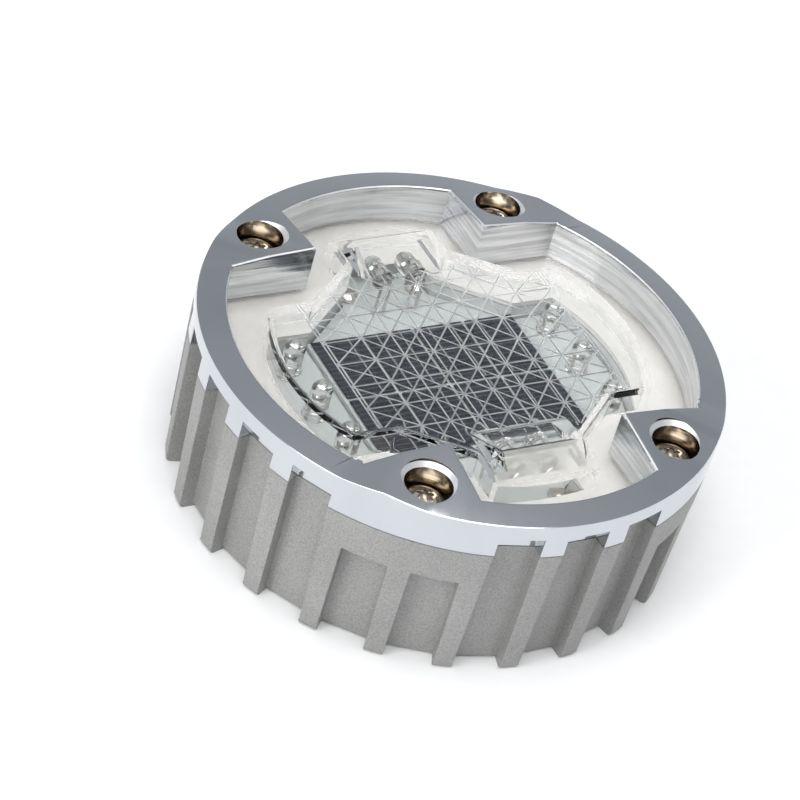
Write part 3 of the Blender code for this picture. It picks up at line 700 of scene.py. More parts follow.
    def combine(self, other: "Shape", operation: str = "DIFFERENCE") -> "Shape":
        """Cuts, joins or crosses this shape with another by an exact Boolean.

        Args:
            other: the second shape, which is used up.
            operation: DIFFERENCE, UNION or INTERSECT.

        Returns:
            The shape itself, holding the result.
        """
        pair = []
        for shape in (self, other):
            mesh = bpy.data.meshes.new("blank")
            shape.bm.to_mesh(mesh)
            item = bpy.data.objects.new("blank", mesh)
            bpy.context.scene.collection.objects.link(item)
            pair.append(item)
        step = pair[0].modifiers.new("cut", "BOOLEAN")
        step.object = pair[1]
        step.operation = operation
        step.solver = "EXACT"
        graph = bpy.context.evaluated_depsgraph_get()
        result = bpy.data.meshes.new_from_object(pair[0].evaluated_get(graph), depsgraph=graph)
        self.bm.free()
        self.bm = bmesh.new()
        self.bm.from_mesh(result)
        for item in pair:
            mesh = item.data
            bpy.data.objects.remove(item)
            bpy.data.meshes.remove(mesh)
        bpy.data.meshes.remove(result)
        return self.settle().weld()

    def settle(self) -> "Shape":
        """Rebuilds the shape in an order set by its places, as a Boolean's own order changes from run to run."""
        order = sorted(self.bm.verts, key=lambda vert: tuple(round(value / WELD * 10) for value in vert.co))
        rank = {vert: number for number, vert in enumerate(order)}
        loops = []
        for face in self.bm.faces:
            loop = [rank[vert] for vert in face.verts]
            start = loop.index(min(loop))
            loops.append((loop[start:] + loop[:start], face.material_index))
        settled = bmesh.new()
        verts = [settled.verts.new(vert.co) for vert in order]
        for loop, finish in sorted(loops):
            settled.faces.new([verts[number] for number in loop]).material_index = finish
        self.bm.free()
        self.bm = settled
        return self

    def seal(self) -> "Shape":
        """Closes slits where one open edge runs along two others, as a Boolean can leave."""
        slit = [edge for edge in self.bm.edges if len(edge.link_faces) == 1]
        spots = [vert for vert in self.bm.verts if any(edge in slit for edge in vert.link_edges)]
        for edge in slit:
            foot = edge.verts[0]
            start, run = foot.co.copy(), edge.verts[1].co - foot.co
            for vert in spots:
                share = (vert.co - start).dot(run) / run.length_squared
                if WELD < share < 1 - WELD and (vert.co - start - run * share).length < WELD * 5:
                    bmesh.utils.edge_split(edge, foot, share)[1].co = vert.co
                    break
        return self.weld()

    def clean(self, degrees: float = 0.05) -> "Shape":
        """Merges faces that lie in one plane, and edges that lie in one line, to within some degrees."""
        bmesh.ops.dissolve_limit(self.bm, angle_limit=math.radians(degrees), verts=self.bm.verts[:],
                                 edges=self.bm.edges[:], delimit={"MATERIAL"})
        return self.weld()

    def finish(self, name: str, finishes: Sequence[str], stands_for: Sequence[str] = (), slot: str = "",
               sharp: float = 35.0) -> bpy.types.Object:
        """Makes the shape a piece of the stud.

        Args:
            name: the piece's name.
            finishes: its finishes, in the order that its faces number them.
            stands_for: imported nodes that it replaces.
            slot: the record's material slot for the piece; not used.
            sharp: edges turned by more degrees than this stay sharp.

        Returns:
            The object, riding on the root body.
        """
        mesh = bpy.data.meshes.new(name)
        self.bm.to_mesh(mesh)
        self.bm.free()
        mesh.shade_smooth()
        mesh.set_sharp_from_angle(angle=math.radians(sharp))
        for finish in finishes:
            mesh.materials.append(FINISHES.get(finish))
        piece = bpy.data.objects.new(name, mesh)
        bpy.context.scene.collection.objects.link(piece)
        weighted = piece.modifiers.new("even_normals", "WEIGHTED_NORMAL")
        weighted.keep_sharp = True
        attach(piece, "root")
        if stands_for:
            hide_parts(*stands_for)
        log.info("%s: %d faces in %s", name, len(mesh.polygons), ", ".join(finishes))
        return piece


def slope(edge: bmesh.types.BMEdge) -> float:
    """Degrees between the two faces of an edge."""
    return math.degrees(edge.calc_face_angle(0.0))


def middle(edge: bmesh.types.BMEdge) -> Vector:
    """The middle of an edge."""
    return (edge.verts[0].co + edge.verts[1].co) / 2


def arc(radius: float, start: float, end: float, steps: int) -> list[Point2]:
    """Points of an arc about the origin.

    Args:
        radius: its radius.
        start: its first angle, in radians.
        end: its last angle.
        steps: how many chords it has.

    Returns:
        The points, both ends included.
    """
    return [(radius * math.cos(start + (end - start) * i / steps),
             radius * math.sin(start + (end - start) * i / steps)) for i in range(steps + 1)]


def rounded(outline: Sequence[Point2], reach: float, steps: int = 4, least: float = 15.0) -> list[Point2]:
    """An outline with its corners rounded.

    Args:
        outline: its points in order.
        reach: how far the rounding runs from each corner.
        steps: chords in each rounding.
        least: the least turn, in degrees, that counts as a corner.

    Returns:
        The new outline.
    """
    points = []
    for number, here in enumerate(outline):
        spot = Vector(here)
        back = Vector(outline[number - 1]) - spot
        ahead = Vector(outline[(number + 1) % len(outline)]) - spot
        if math.degrees(math.pi - back.angle(ahead)) < least:
            points.append(here)
            continue
        back *= min(0.45, reach / back.length)
        ahead *= min(0.45, reach / ahead.length)
        for step in range(steps + 1):
            share = step / steps
            bend = spot + back * (1 - share) ** 2 + ahead * share ** 2
            points.append((bend.x, bend.y))
    return points


# ---------------------------------------------------------------- the stud's shared sizes
@dataclass(frozen=True)
class StudSizes:
    """Sizes that several pieces share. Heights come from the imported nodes, plan sizes are named here."""

    gap: float = 0.0003
    rim_radius: float = 0.0625
    housing_top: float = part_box("base_housing")[1].z
    ring_foot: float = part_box("top_ring")[0].z
    ring_side: float = 0.0088
    ring_band: float = 0.0070
    ring_slope: float = 9.3
    flange_foot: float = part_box("lens_cover")[0].z
    screw_angle: float = 53.3
    screw_edge: float = 0.0083
    bore_radius: float = 0.0056
    lobe_margin_x: float = 0.0041
    lobe_margin_y: float = 0.0039
    moat_round: float = 0.0102
    moat_side: float = 0.0117
    moat_end: float = 0.0091
    corner_cut_x: float = 0.0147
    corner_cut_y: float = 0.0116
    lens_sink: float = 0.0019
    lens_wall: float = 0.0018
    flange_lap: float = 0.0014
    ledge_overhang: float = 0.0003
    arc_steps: int = 36

    @property
    def rim_z(self) -> float:
        """Height of the ring's rim."""
        return self.ring_foot + self.ring_side

    @property
    def lens_top(self) -> float:
        """Height of the lens table."""
        return self.rim_z - self.lens_sink

    @property
    def screw_place(self) -> Point2:
        """The screw axis in the first quarter."""
        circle = self.rim_radius - self.screw_edge
        angle = math.radians(self.screw_angle)
        return circle * math.cos(angle), circle * math.sin(angle)

    @property
    def window_radius(self) -> float:
        """Radius of the round parts of the ring's window."""
        return self.rim_radius - self.ring_band

    @property
    def window_end(self) -> float:
        """Half width of the window's openings at +-Y."""
        return self.screw_place[0] - self.bore_radius - self.lobe_margin_x

    @property
    def window_side(self) -> float:
        """Half width of the window's openings at +-X."""
        return self.screw_place[1] - self.bore_radius - self.lobe_margin_y

    @property
    def wall_radius(self) -> float:
        """Radius of the round ends of the lens table."""
        return self.window_radius - self.moat_round

    @property
    def wall_end(self) -> float:
        """Half width of the table's ends at +-Y."""
        return self.window_end - self.moat_end

    @property
    def wall_side(self) -> float:
        """Half width of the table's ends at +-X."""
        return self.window_side - self.moat_side

    def ring_top(self, radius: float) -> float:
        """Height of the ring's cone at a radius."""
        return self.rim_z + (self.rim_radius - radius) * math.tan(math.radians(self.ring_slope))

    def cross(self, radius: float, end: float, side: float, corners: list[Point2]) -> list[Point2]:
        """A round outline notched at its four quarters.

        Args:
            radius: its round parts.
            end: half width of its openings at +-Y.
            side: half width of its openings at +-X.
            corners: the notch's points in the first quarter, from the X side round to the Y side.

        Returns:
            The outline's points, in order.
        """
        half = math.asin(side / radius)
        past = math.acos(end / radius)
        steps = self.arc_steps // 2
        quarter = arc(radius, 0, half, steps) + corners + arc(radius, past, math.pi / 2, steps)
        points = list(quarter)
        points += [(-x, y) for x, y in reversed(quarter[:-1])]
        points += [(-x, -y) for x, y in quarter[1:]]
        points += [(x, -y) for x, y in reversed(quarter[1:-1])]
        return points

    def window(self, grow: float = 0.0) -> list[Point2]:
        """The ring's window, or an outline that much larger."""
        corner = (self.window_end + grow, self.window_side + grow)
        return self.cross(self.window_radius + grow, self.window_end + grow, self.window_side + grow, [corner])

    def wall(self, inset: float = 0.0) -> list[Point2]:
        """The lens table's outer outline, or an outline that much smaller."""
        end = self.wall_end - inset
        side = self.wall_side - inset
        slant = math.hypot(self.corner_cut_x, self.corner_cut_y)
        across = self.corner_cut_y / slant
        along = self.corner_cut_x / slant
        reach = across * self.wall_end + along * (self.wall_side + self.corner_cut_y) - inset
        corners = [((reach - along * side) / across, side), (end, (reach - across * end) / along)]
        return self.cross(self.wall_radius - inset, end, side, corners)


SIZES = StudSizes()


# ---------------------------------------------------------------- ribbed outside
@dataclass(frozen=True)
class RibbedSide:
    """The ribbed outside that the housing and the ring share, raised level by level from one loop of points.

    Each of the sectors has a groove in its middle and half a rib at each side. A sector's points are, in
    order: groove mouth, three on the groove's floor, groove mouth, and three on the rib.
    """

    ribs: int = 24
    groove_depth: float = 0.0039
    top_width: float = 0.0105
    foot_width: float = 0.0114
    draft: float = 2.2
    per_sector: int = 8

    def nearest_screw(self, sector: int) -> float:
        """Radians from a sector's middle to the nearest screw."""
        angle = math.tau * sector / self.ribs
        x, y = SIZES.screw_place
        return min(abs(math.remainder(angle - math.atan2(sy * y, sx * x), math.tau)) for sx, sy in QUARTERS)

    def is_full(self, sector: int) -> bool:
        """Whether a sector's groove runs on up into the ring."""
        return self.nearest_screw(sector) > math.tau / self.ribs

    def place(self, number: int, height: float, inset: float, open_groove: bool) -> Vector:
        """Where one point of the loop stands.

        Args:
            number: its number in the loop.
            height: its height.
            inset: how far it is drawn in, on top of the draft.
            open_groove: whether its sector is grooved at this level.

        Returns:
            The point.
        """
        sector, role = divmod(number, self.per_sector)
        below = max(SIZES.housing_top - height, 0.0)
        radius = SIZES.rim_radius - below * math.tan(math.radians(self.draft)) - inset
        half = (self.top_width + (self.foot_width - self.top_width) * below / SIZES.housing_top) / 2
        mouth = math.asin(half / radius)
        rest = math.tau / self.ribs - 2 * mouth
        if role in (1, 2, 3) and open_groove:
            spot = Vector((radius - self.groove_depth, (role - 2) * half, height))
        else:
            turn = (role - 2) / 2 * mouth if role <= 4 else mouth + rest * (role - 4) / 4
            spot = Vector((radius * math.cos(turn), radius * math.sin(turn), height))
        spot.rotate(Matrix.Rotation(math.tau * sector / self.ribs, 3, "Z"))
        return spot

    def raise_levels(self, levels: Sequence[Level]) -> tuple[Shape, list[bmesh.types.BMVert]]:
        """Raises the outside through its levels.

        Args:
            levels: (height, inset, full grooves open, pockets open) from the foot up.

        Returns:
            The open shape, with its foot closed, and the top loop in order.
        """
        shape = Shape()
        count = self.ribs * self.per_sector
        loop = bmesh.ops.create_circle(shape.bm, cap_ends=False, segments=count, radius=SIZES.rim_radius)["verts"]
        self.set_level(loop, levels[0])
        bmesh.ops.edgeloop_fill(shape.bm, edges=shape.bm.edges[:])
        for level in levels[1:]:
            loop = shape.grow(loop)
            self.set_level(loop, level)
        return shape, loop

    def set_level(self, loop: Sequence[bmesh.types.BMVert], level: Level) -> None:
        """Puts a loop's points where one level has them."""
        height, inset, full_open, pockets_open = level
        for number, vert in enumerate(loop):
            full = self.is_full(number // self.per_sector)
            vert.co = self.place(number, height, inset, full_open if full else pockets_open)


# ---------------------------------------------------------------- housing
@dataclass
class Housing:
    """Blasted cast cup: draughted ribs, blind pockets beside the screws, lens ledge, well and board posts."""

    side: RibbedSide = field(default_factory=RibbedSide)
    foot_round: float = 0.0014
    foot_steps: int = 4
    pocket_height: float = 0.0269
    edge_round: float = 0.00038
    floor: float = 0.0040
    ledge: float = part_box("lens_gasket")[0].z - SIZES.gap
    thread_radius: float = 0.0032
    thread_depth: float = 0.0190
    post_radius: float = 0.0045
    post_inset: Point2 = (0.0044, 0.0095)
    post_bore: float = 0.0016
    post_bore_depth: float = 0.0070

    def build(self) -> None:
        """Builds and dresses the housing."""
        shape = self.outside()
        shape.combine(Shape.prism(SIZES.window(SIZES.flange_lap + SIZES.gap), self.ledge, SIZES.rim_z))
        shape.combine(Shape.prism(SIZES.wall(SIZES.lens_wall - SIZES.ledge_overhang), self.floor, SIZES.rim_z))
        shape.combine(self.posts(), "UNION")
        x, y = SIZES.screw_place
        foot = SIZES.ring_foot - self.thread_depth
        for sx, sy in QUARTERS:
            drill = Shape.turned([(0, foot), (self.thread_radius, foot), (self.thread_radius, SIZES.rim_z),
                                  (0, SIZES.rim_z)], 32)
            shape.combine(drill.move((sx * x, sy * y, 0)))
        # The well's faces are painted lighter, as painted light against the shade inside it.
        shape.paint(1, self.in_well)
        shape.finish("housing_shell", ["blasted_casting", "well_painted_light"], ["base_housing"], "cast_aluminium")

    def in_well(self, face: bmesh.types.BMFace) -> bool:
        """Whether a face is inside the well, which is painted lighter than the casting: painted light that lifts the
        shade the ring walls cast into it.
        """
        spot = face.calc_center_median()
        return math.hypot(spot.x, spot.y) < SIZES.wall_radius and spot.z > self.floor - NEAR

    def outside(self) -> Shape:
        """The solid ribbed body, rounded at its foot and along its ribs."""
        levels = []
        for step in range(self.foot_steps + 1):
            turn = math.pi / 2 * step / self.foot_steps
            height, inset = (self.foot_round * (1 - part) for part in (math.cos(turn), math.sin(turn)))
            levels.append((height, inset, True, True))
        levels += [(self.pocket_height, 0, True, True), (self.pocket_height, 0, True, False),
                   (SIZES.housing_top, 0, True, False)]
        shape, loop = self.side.raise_levels(levels)
        bmesh.ops.edgeloop_fill(shape.bm, edges=shape.round_edges(loop))
        shape.weld()
        foot = self.foot_round * 1.05
        shape.soften(self.edge_round, lambda e: slope(e) > CREASE and middle(e).z > foot and
                     middle(e).z < SIZES.housing_top - NEAR)
        return shape

    def posts(self) -> Shape:
        """Four bored posts for the board screws."""
        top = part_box("main_board")[0].z - SIZES.gap
        foot = self.floor / 2
        depth = top - self.post_bore_depth
        whole = Shape()
        for sx, sy in QUARTERS:
            post = Shape.turned([(0, foot), (self.post_radius, foot), (self.post_radius, top), (self.post_bore, top),
                                 (self.post_bore, depth), (0, depth)], 32)
            whole.absorb(post.move((sx * (SIZES.wall_end - self.post_inset[0]),
                                    sy * (SIZES.wall_radius - self.post_inset[1]), 0)))
        return whole


# ---------------------------------------------------------------- top ring
@dataclass
class TopRing:
    """Polished ring: shallow cone with a low ridge over each diagonal, four screw lobes and a cross-shaped window."""

    side: RibbedSide = field(default_factory=RibbedSide)
    groove_rise: float = 0.0049
    rim_round: float = 0.0004
    ridge_height: float = 0.0012
    ridge_span: float = 10.0
    lip: float = 0.0008
    bore_lip: float = 0.0005
    bore_lip_round: float = 0.0002
    bore_web: float = 0.0021
    hole_radius: float = 0.0032
    groove_round: float = 0.0003
    rim_turn: float = 45.0
    lip_turn: float = 25.0
    upright: float = 0.3
    flat: float = 0.93

    def build(self) -> None:
        """Builds and dresses the ring."""
        shape = self.blank()
        shape.combine(Shape.prism(SIZES.window(), 0, 2 * SIZES.rim_z)).clean()
        shape.soften(self.lip, self.is_window_rim, segments=3, clamp=False)
        x, y = SIZES.screw_place
        mouth = SIZES.ring_top(math.hypot(x, y))
        floor = SIZES.ring_foot + self.bore_web
        spread = 2 * self.bore_lip
        for sx, sy in QUARTERS:
            bore = Shape.turned([(0, 0), (self.hole_radius, 0), (self.hole_radius, floor), (SIZES.bore_radius, floor),
                                 (SIZES.bore_radius, mouth - self.bore_lip),
                                 (SIZES.bore_radius + spread, mouth + self.bore_lip),
                                 (SIZES.bore_radius + spread, 2 * SIZES.rim_z), (0, 2 * SIZES.rim_z)], 64)
            shape.combine(bore.move((sx * x, sy * y, 0)))
        shape.soften(self.bore_lip_round, self.is_bore_lip, segments=3)
        shape.paint(2, self.in_window)
        shape.paint(1, self.in_bore)
        # The lips of the window and the bores take the lighter copy of the ring's metal, a painted highlight along
        # their rims.
        shape.paint(3, self.in_lip)
        shape.finish("ring_shell", ["ring_polish", "bore_nickel", "ring_wall", "ring_lip_painted_highlight"], ["top_ring"],
                     "polished_aluminium", sharp=28)

    def blank(self) -> Shape:
        """The ring before its window and bores are cut."""
        top = SIZES.ring_foot + self.groove_rise
        levels = [(SIZES.ring_foot, 0, True, False), (top, 0, True, False), (top, 0, False, False),
                  (SIZES.rim_z - self.rim_round, 0, False, False)]
        shape, loop = self.side.raise_levels(levels)
        rings = [(SIZES.rim_radius - self.rim_round * 0.3, -self.rim_round * 0.3),
                 (SIZES.rim_radius - self.rim_round, 0.0), (SIZES.window_radius, 0.0), (SIZES.window_end, 0.0)]
        for radius, drop in rings:
            loop = shape.grow(loop)
            for vert in loop:
                turn = math.atan2(vert.co.y, vert.co.x)
                height = SIZES.ring_top(radius) + drop + self.ridge(turn, radius)
                vert.co = Vector((radius * math.cos(turn), radius * math.sin(turn), height))
        bmesh.ops.edgeloop_fill(shape.bm, edges=shape.round_edges(loop))
        shape.weld()
        shape.soften(self.groove_round, lambda e: slope(e) > CREASE and middle(e).z < top + NEAR and
                     middle(e).z > SIZES.ring_foot + NEAR)
        return shape

    def ridge(self, turn: float, radius: float) -> float:
        """Lift of the cone near a diagonal, fading inwards."""
        off = math.remainder(turn - math.pi / 4, math.pi / 2)
        share = max(0.0, 1 - abs(off) / math.radians(self.ridge_span))
        inwards = (radius - SIZES.window_radius) / SIZES.ring_band
        return self.ridge_height * share * max(0.0, min(1.0, 0.5 + 0.5 * inwards))

    def is_window_rim(self, edge: bmesh.types.BMEdge) -> bool:
        """Whether an edge joins the cone to the window's wall."""
        spot = middle(edge)
        within = math.hypot(spot.x, spot.y) < SIZES.window_radius + 2 * NEAR
        return slope(edge) >= self.rim_turn and spot.z > SIZES.rim_z and within

    def in_window(self, face: bmesh.types.BMFace) -> bool:
        """Whether a face is part of the window's upright wall."""
        spot = face.calc_center_median()
        return abs(face.normal.z) < self.upright and math.hypot(spot.x, spot.y) < SIZES.window_radius + 2 * NEAR

    def in_lip(self, face: bmesh.types.BMFace) -> bool:
        """Whether a face is part of the rounded lip of the window or of a bore, where the ring carries a painted
        highlight.
        """
        spot = face.calc_center_median()
        if not self.upright < face.normal.z < self.flat or spot.z < SIZES.rim_z:
            return False
        at_window = math.hypot(spot.x, spot.y) < SIZES.window_radius + self.lip
        return at_window or self.from_screw(spot) < SIZES.bore_radius + 3 * self.bore_lip

    @staticmethod
    def from_screw(spot: Vector) -> float:
        """Distance in plan from a point to the nearest screw axis."""
        x, y = SIZES.screw_place
        return min(math.hypot(spot.x - sx * x, spot.y - sy * y) for sx, sy in QUARTERS)

    def is_bore_lip(self, edge: bmesh.types.BMEdge) -> bool:
        """Whether an edge runs round a bore's countersunk lip."""
        off = abs(self.from_screw(middle(edge)) - SIZES.bore_radius)
        return slope(edge) > self.lip_turn and middle(edge).z > SIZES.rim_z and off < 2 * self.bore_lip

    @classmethod
    def in_bore(cls, face: bmesh.types.BMFace) -> bool:
        """Whether a face is part of a screw bore's wall or floor."""
        spot = face.calc_center_median()
        x, y = SIZES.screw_place
        off = cls.from_screw(spot)
        mouth = SIZES.ring_top(math.hypot(x, y))
        return off < SIZES.bore_radius * 1.005 and spot.z < mouth - NEAR and len(face.verts) < 100


# ---------------------------------------------------------------- lens
@dataclass
class LensCover:
    """Clear moulded lens: clamped flange, raised table with an engraved net of triangles, a hood at each Y end."""

    plate: float = 0.0030
    flange: float = 0.0025
    table_round: float = 0.0006
    foot_round: float = 0.0012
    corner_round: float = 0.0008
    hood_round: float = 0.0003
    round_steps: int = 4
    hood_foot_inset: float = 0.0022
    window_run: float = 0.0057
    ramp_run: float = 0.0098
    hood_rise: float = 0.0012
    hood_drop: float = 0.0037
    hood_half: float = 0.0105
    hood_wall: float = 0.0024
    net_pitch: float = 0.00759
    net_columns: int = 3
    net_edge: float = 0.0330
    net_double: float = 0.0009
    line_half: float = 0.00021
    line_depth: float = 0.00022

    @property
    def foot_y(self) -> float:
        """Y of the hood window's foot."""
        return SIZES.wall_radius - self.hood_foot_inset

    @property
    def ridge_y(self) -> float:
        """Y of the hood's ridge."""
        return self.foot_y - self.window_run

    @property
    def start_y(self) -> float:
        """Y where the hood's ramp starts."""
        return self.ridge_y - self.ramp_run

    @property
    def ridge_z(self) -> float:
        """Height of the hood's ridge."""
        return SIZES.rim_z + self.hood_rise

    @property
    def foot_z(self) -> float:
        """Height of the hood window's foot."""
        return SIZES.rim_z - self.hood_drop

    @property
    def fall(self) -> float:
        """Fall of the hood's window per unit of run."""
        return (self.ridge_z - self.foot_z) / self.window_run

    def build(self) -> None:
        """Builds and dresses the lens."""
        shape = Shape.prism(SIZES.window(SIZES.flange_lap), SIZES.flange_foot, SIZES.housing_top)
        shape.combine(self.table(), "UNION")
        for sy in (1, -1):
            shape.combine(self.hood(sy), "UNION")
        for sy in (1, -1):
            shape.combine(self.window_cut(sy))
        shape.combine(self.hollow())
        for sy in (1, -1):
            shape.combine(self.lamp_space(sy))
        self.engrave(shape.seal())
        shape.paint(2, self.is_window)
        # The flange's underside is painted opaque with the gasket's finish. This is partly the real gasket and partly
        # painted light that covers shaded gaps in the housing seen through the flange.
        shape.paint(3, self.is_seat)
        shape.finish("lens_shell", ["lens_clear", "lens_etched", "lens_window", "gasket_silicone"], ["lens_cover"],
                     "clear_polycarbonate", sharp=32)

    @staticmethod
    def is_seat(face: bmesh.types.BMFace) -> bool:
        """Whether a face is the flange's underside. It is painted with the gasket's finish: partly the gasket seen
        through the clear flange, partly a pale opaque sheet laid over shaded gaps of the housing that would show
        through.
        """
        return face.normal.z < -0.99 and abs(face.calc_center_median().z - SIZES.flange_foot) < NEAR

    def is_window(self, face: bmesh.types.BMFace) -> bool:
        """Whether a face is the outside of a hood's sloping window."""
        length = math.hypot(1, self.fall)
        towards = abs(face.normal.y) * self.fall / length + face.normal.z / length
        spot = face.calc_center_median()
        return towards > 0.999 and abs(spot.y) > self.ridge_y and abs(spot.x) < self.hood_half

    def table(self) -> Shape:
        """The raised table, flared at its foot and rounded at its rim."""
        levels = [(SIZES.wall(-self.foot_round), SIZES.flange_foot + self.flange / 2)]
        for step in range(self.round_steps + 1):
            turn = math.pi / 2 * step / self.round_steps
            levels.append((SIZES.wall(-self.foot_round * (1 - math.sin(turn))),
                           SIZES.housing_top + self.foot_round * (1 - math.cos(turn))))
        for step in range(self.round_steps + 1):
            turn = math.pi / 2 * step / self.round_steps
            levels.append((SIZES.wall(self.table_round * (1 - math.cos(turn))),
                           SIZES.lens_top - self.table_round * (1 - math.sin(turn))))
        return Shape.loft([(rounded(outline, self.corner_round), height) for outline, height in levels])

    def hood(self, sy: int) -> Shape:
        """The wedge over two lamps, at the +Y or -Y end."""
        root = self.foot_z - self.plate / 2
        points = []
        for sx in (-1, 1):
            wide = sx * (SIZES.wall_end - self.table_round)
            narrow = sx * self.hood_half
            points += [(wide, sy * self.start_y, SIZES.lens_top), (wide, sy * self.start_y, root),
                       (wide, sy * self.ridge_y, SIZES.lens_top), (wide, sy * self.ridge_y, root),
                       (narrow, sy * self.ridge_y, self.ridge_z), (narrow, sy * self.foot_y, self.foot_z),
                       (narrow, sy * self.foot_y, root)]
        shape = Shape.hull(points)
        low = SIZES.lens_top + 2 * NEAR
        return shape.soften(self.hood_round, lambda e: slope(e) > 15 and middle(e).z > low, segments=3)

    def side_prism(self, outline: Sequence[Point2], half: float) -> Shape:
        """An outline in Y and Z, extruded from -half to half along X."""
        shape = Shape.prism([(z, y) for y, z in outline], -half, half)
        return shape.turn(-90, "Y").weld()

    def window_cut(self, sy: int) -> Shape:
        """What is taken away in front of a hood's sloping window."""
        top = self.ridge_z + self.plate
        back = self.foot_y - (top - self.foot_z) / self.fall
        out = SIZES.rim_radius
        return self.side_prism([(sy * self.foot_y, self.foot_z), (sy * out, self.foot_z), (sy * out, top),
                                (sy * back, top)], SIZES.wall_radius)

    def hollow(self) -> Shape:
        """The space under the table, kept behind the hoods' windows."""
        limit = self.foot_y - self.hood_wall
        outline = [(x, max(-limit, min(limit, y))) for x, y in SIZES.wall(SIZES.lens_wall)]
        return Shape.prism(outline, 0, SIZES.lens_top - self.plate).clean(0.1)

    def lamp_space(self, sy: int) -> Shape:
        """The space inside a hood, one wall under its ramp and its window."""
        ramp = (self.ridge_z - SIZES.lens_top) / self.ramp_run
        start_z = SIZES.lens_top - self.hood_wall * math.hypot(1, ramp)
        foot_z = self.foot_z - self.hood_wall * math.hypot(1, self.fall)
        run = self.foot_y - self.start_y
        peak_y = self.start_y + (foot_z + self.fall * run - start_z) / (ramp + self.fall)
        peak_z = start_z + ramp * (peak_y - self.start_y)
        low = SIZES.flange_foot - SIZES.gap
        front = self.foot_y - self.hood_wall
        front_z = foot_z + self.fall * self.hood_wall
        outline = [(sy * self.start_y, low), (sy * front, low), (sy * front, front_z), (sy * peak_y, peak_z),
                   (sy * self.start_y, start_z)]
        return self.side_prism(outline, self.hood_half - self.hood_wall / 2)

    def net_lines(self) -> list[tuple[Point2, Point2]]:
        """The engraved lines: the net's two directions, both diagonals of each cell, and its double end lines.

        Returns:
            Each line as two points in plan.
        """
        pitch = self.net_pitch
        side = self.net_columns * pitch
        tall = self.start_y
        lines = [((x * pitch, -tall), (x * pitch, tall)) for x in range(-self.net_columns, self.net_columns + 1)]
        for edge in (self.net_edge, self.net_edge - self.net_double):
            lines += [((sx * edge, -SIZES.wall_side), (sx * edge, SIZES.wall_side)) for sx in (-1, 1)]
        for row in range(-self.net_columns, self.net_columns + 1):
            lines.append(((-self.net_edge, row * pitch), (self.net_edge, row * pitch)))
        for shift in range(-2 * self.net_columns - 1, 2 * self.net_columns + 2):
            for lean in (1, -1):
                ends = [(x, lean * (x - shift * pitch)) for x in (-side, side)]
                lines.append(self.trim(ends, tall))
        for sx in (-1, 1):
            for row in range(-self.net_columns, self.net_columns):
                low, high = row * pitch, (row + 1) * pitch
                lines.append(((sx * side, low), (sx * self.net_edge, high)))
                lines.append(((sx * side, high), (sx * self.net_edge, low)))
        return [line for line in lines if line]

    @staticmethod
    def trim(ends: list[Point2], limit: float) -> tuple[Point2, Point2] | None:
        """Cuts a line to the band of Y within +-limit, or returns None where none of it is in the band."""
        (x0, y0), (x1, y1) = ends
        spots = []
        for y in (-limit, limit):
            spots.append((y - y0) / (y1 - y0))
        start, end = max(0.0, min(spots)), min(1.0, max(spots))
        if end - start < 0.02:
            return None
        return ((x0 + (x1 - x0) * start, y0 + (y1 - y0) * start), (x0 + (x1 - x0) * end, y0 + (y1 - y0) * end))

    def engrave(self, shape: Shape) -> None:
        """Cuts the net into the table as shallow V grooves."""
        bm = shape.bm
        top = SIZES.lens_top
        lines = self.net_lines()

        def on_table(face: bmesh.types.BMFace) -> bool:
            """Whether a face lies flat on the table."""
            return face.normal.z > 0.99 and all(abs(v.co.z - top) < ON_TABLE for v in face.verts)

        for start, end in lines:
            begin, finish = Vector((*start, 0)), Vector((*end, 0))
            along = (finish - begin).normalized()
            across = Vector((-along.y, along.x, 0))
            reach = (finish - begin).length
            for shift in (-self.line_half, 0.0, self.line_half):
                faces = []
                for face in bm.faces:
                    if not on_table(face):
                        continue
                    runs = [(v.co - begin).dot(along) for v in face.verts]
                    offs = [(v.co - begin).dot(across) - shift for v in face.verts]
                    if max(runs) > WELD and min(runs) < reach - WELD and max(offs) > WELD and min(offs) < -WELD:
                        faces.append(face)
                geom = dict.fromkeys(item for face in faces for item in (face, *face.edges, *face.verts))
                spot = begin + across * shift + Vector((0, 0, top))
                bmesh.ops.bisect_plane(bm, geom=list(geom), dist=WELD, plane_co=spot, plane_no=across)
        sunk = {}
        for vert in bm.verts:
            if abs(vert.co.z - top) > ON_TABLE or not all(on_table(face) for face in vert.link_faces):
                continue
            share = 0.0
            for start, end in lines:
                begin, finish = Vector((*start, 0)), Vector((*end, 0))
                along = (finish - begin).normalized()
                run = (vert.co - begin).dot(along)
                if -WELD * 20 < run < (finish - begin).length + WELD * 20:
                    off = abs((vert.co - begin).dot(Vector((-along.y, along.x, 0))))
                    share = max(share, 1 - off / self.line_half)
            if share > 0.02:
                sunk[vert] = share
        for vert, share in sunk.items():
            vert.co.z -= self.line_depth * share
        for face in bm.faces:
            if any(vert in sunk for vert in face.verts):
                face.material_index = 1
        bmesh.ops.triangulate(bm, faces=[face for face in bm.faces if face.material_index == 1])


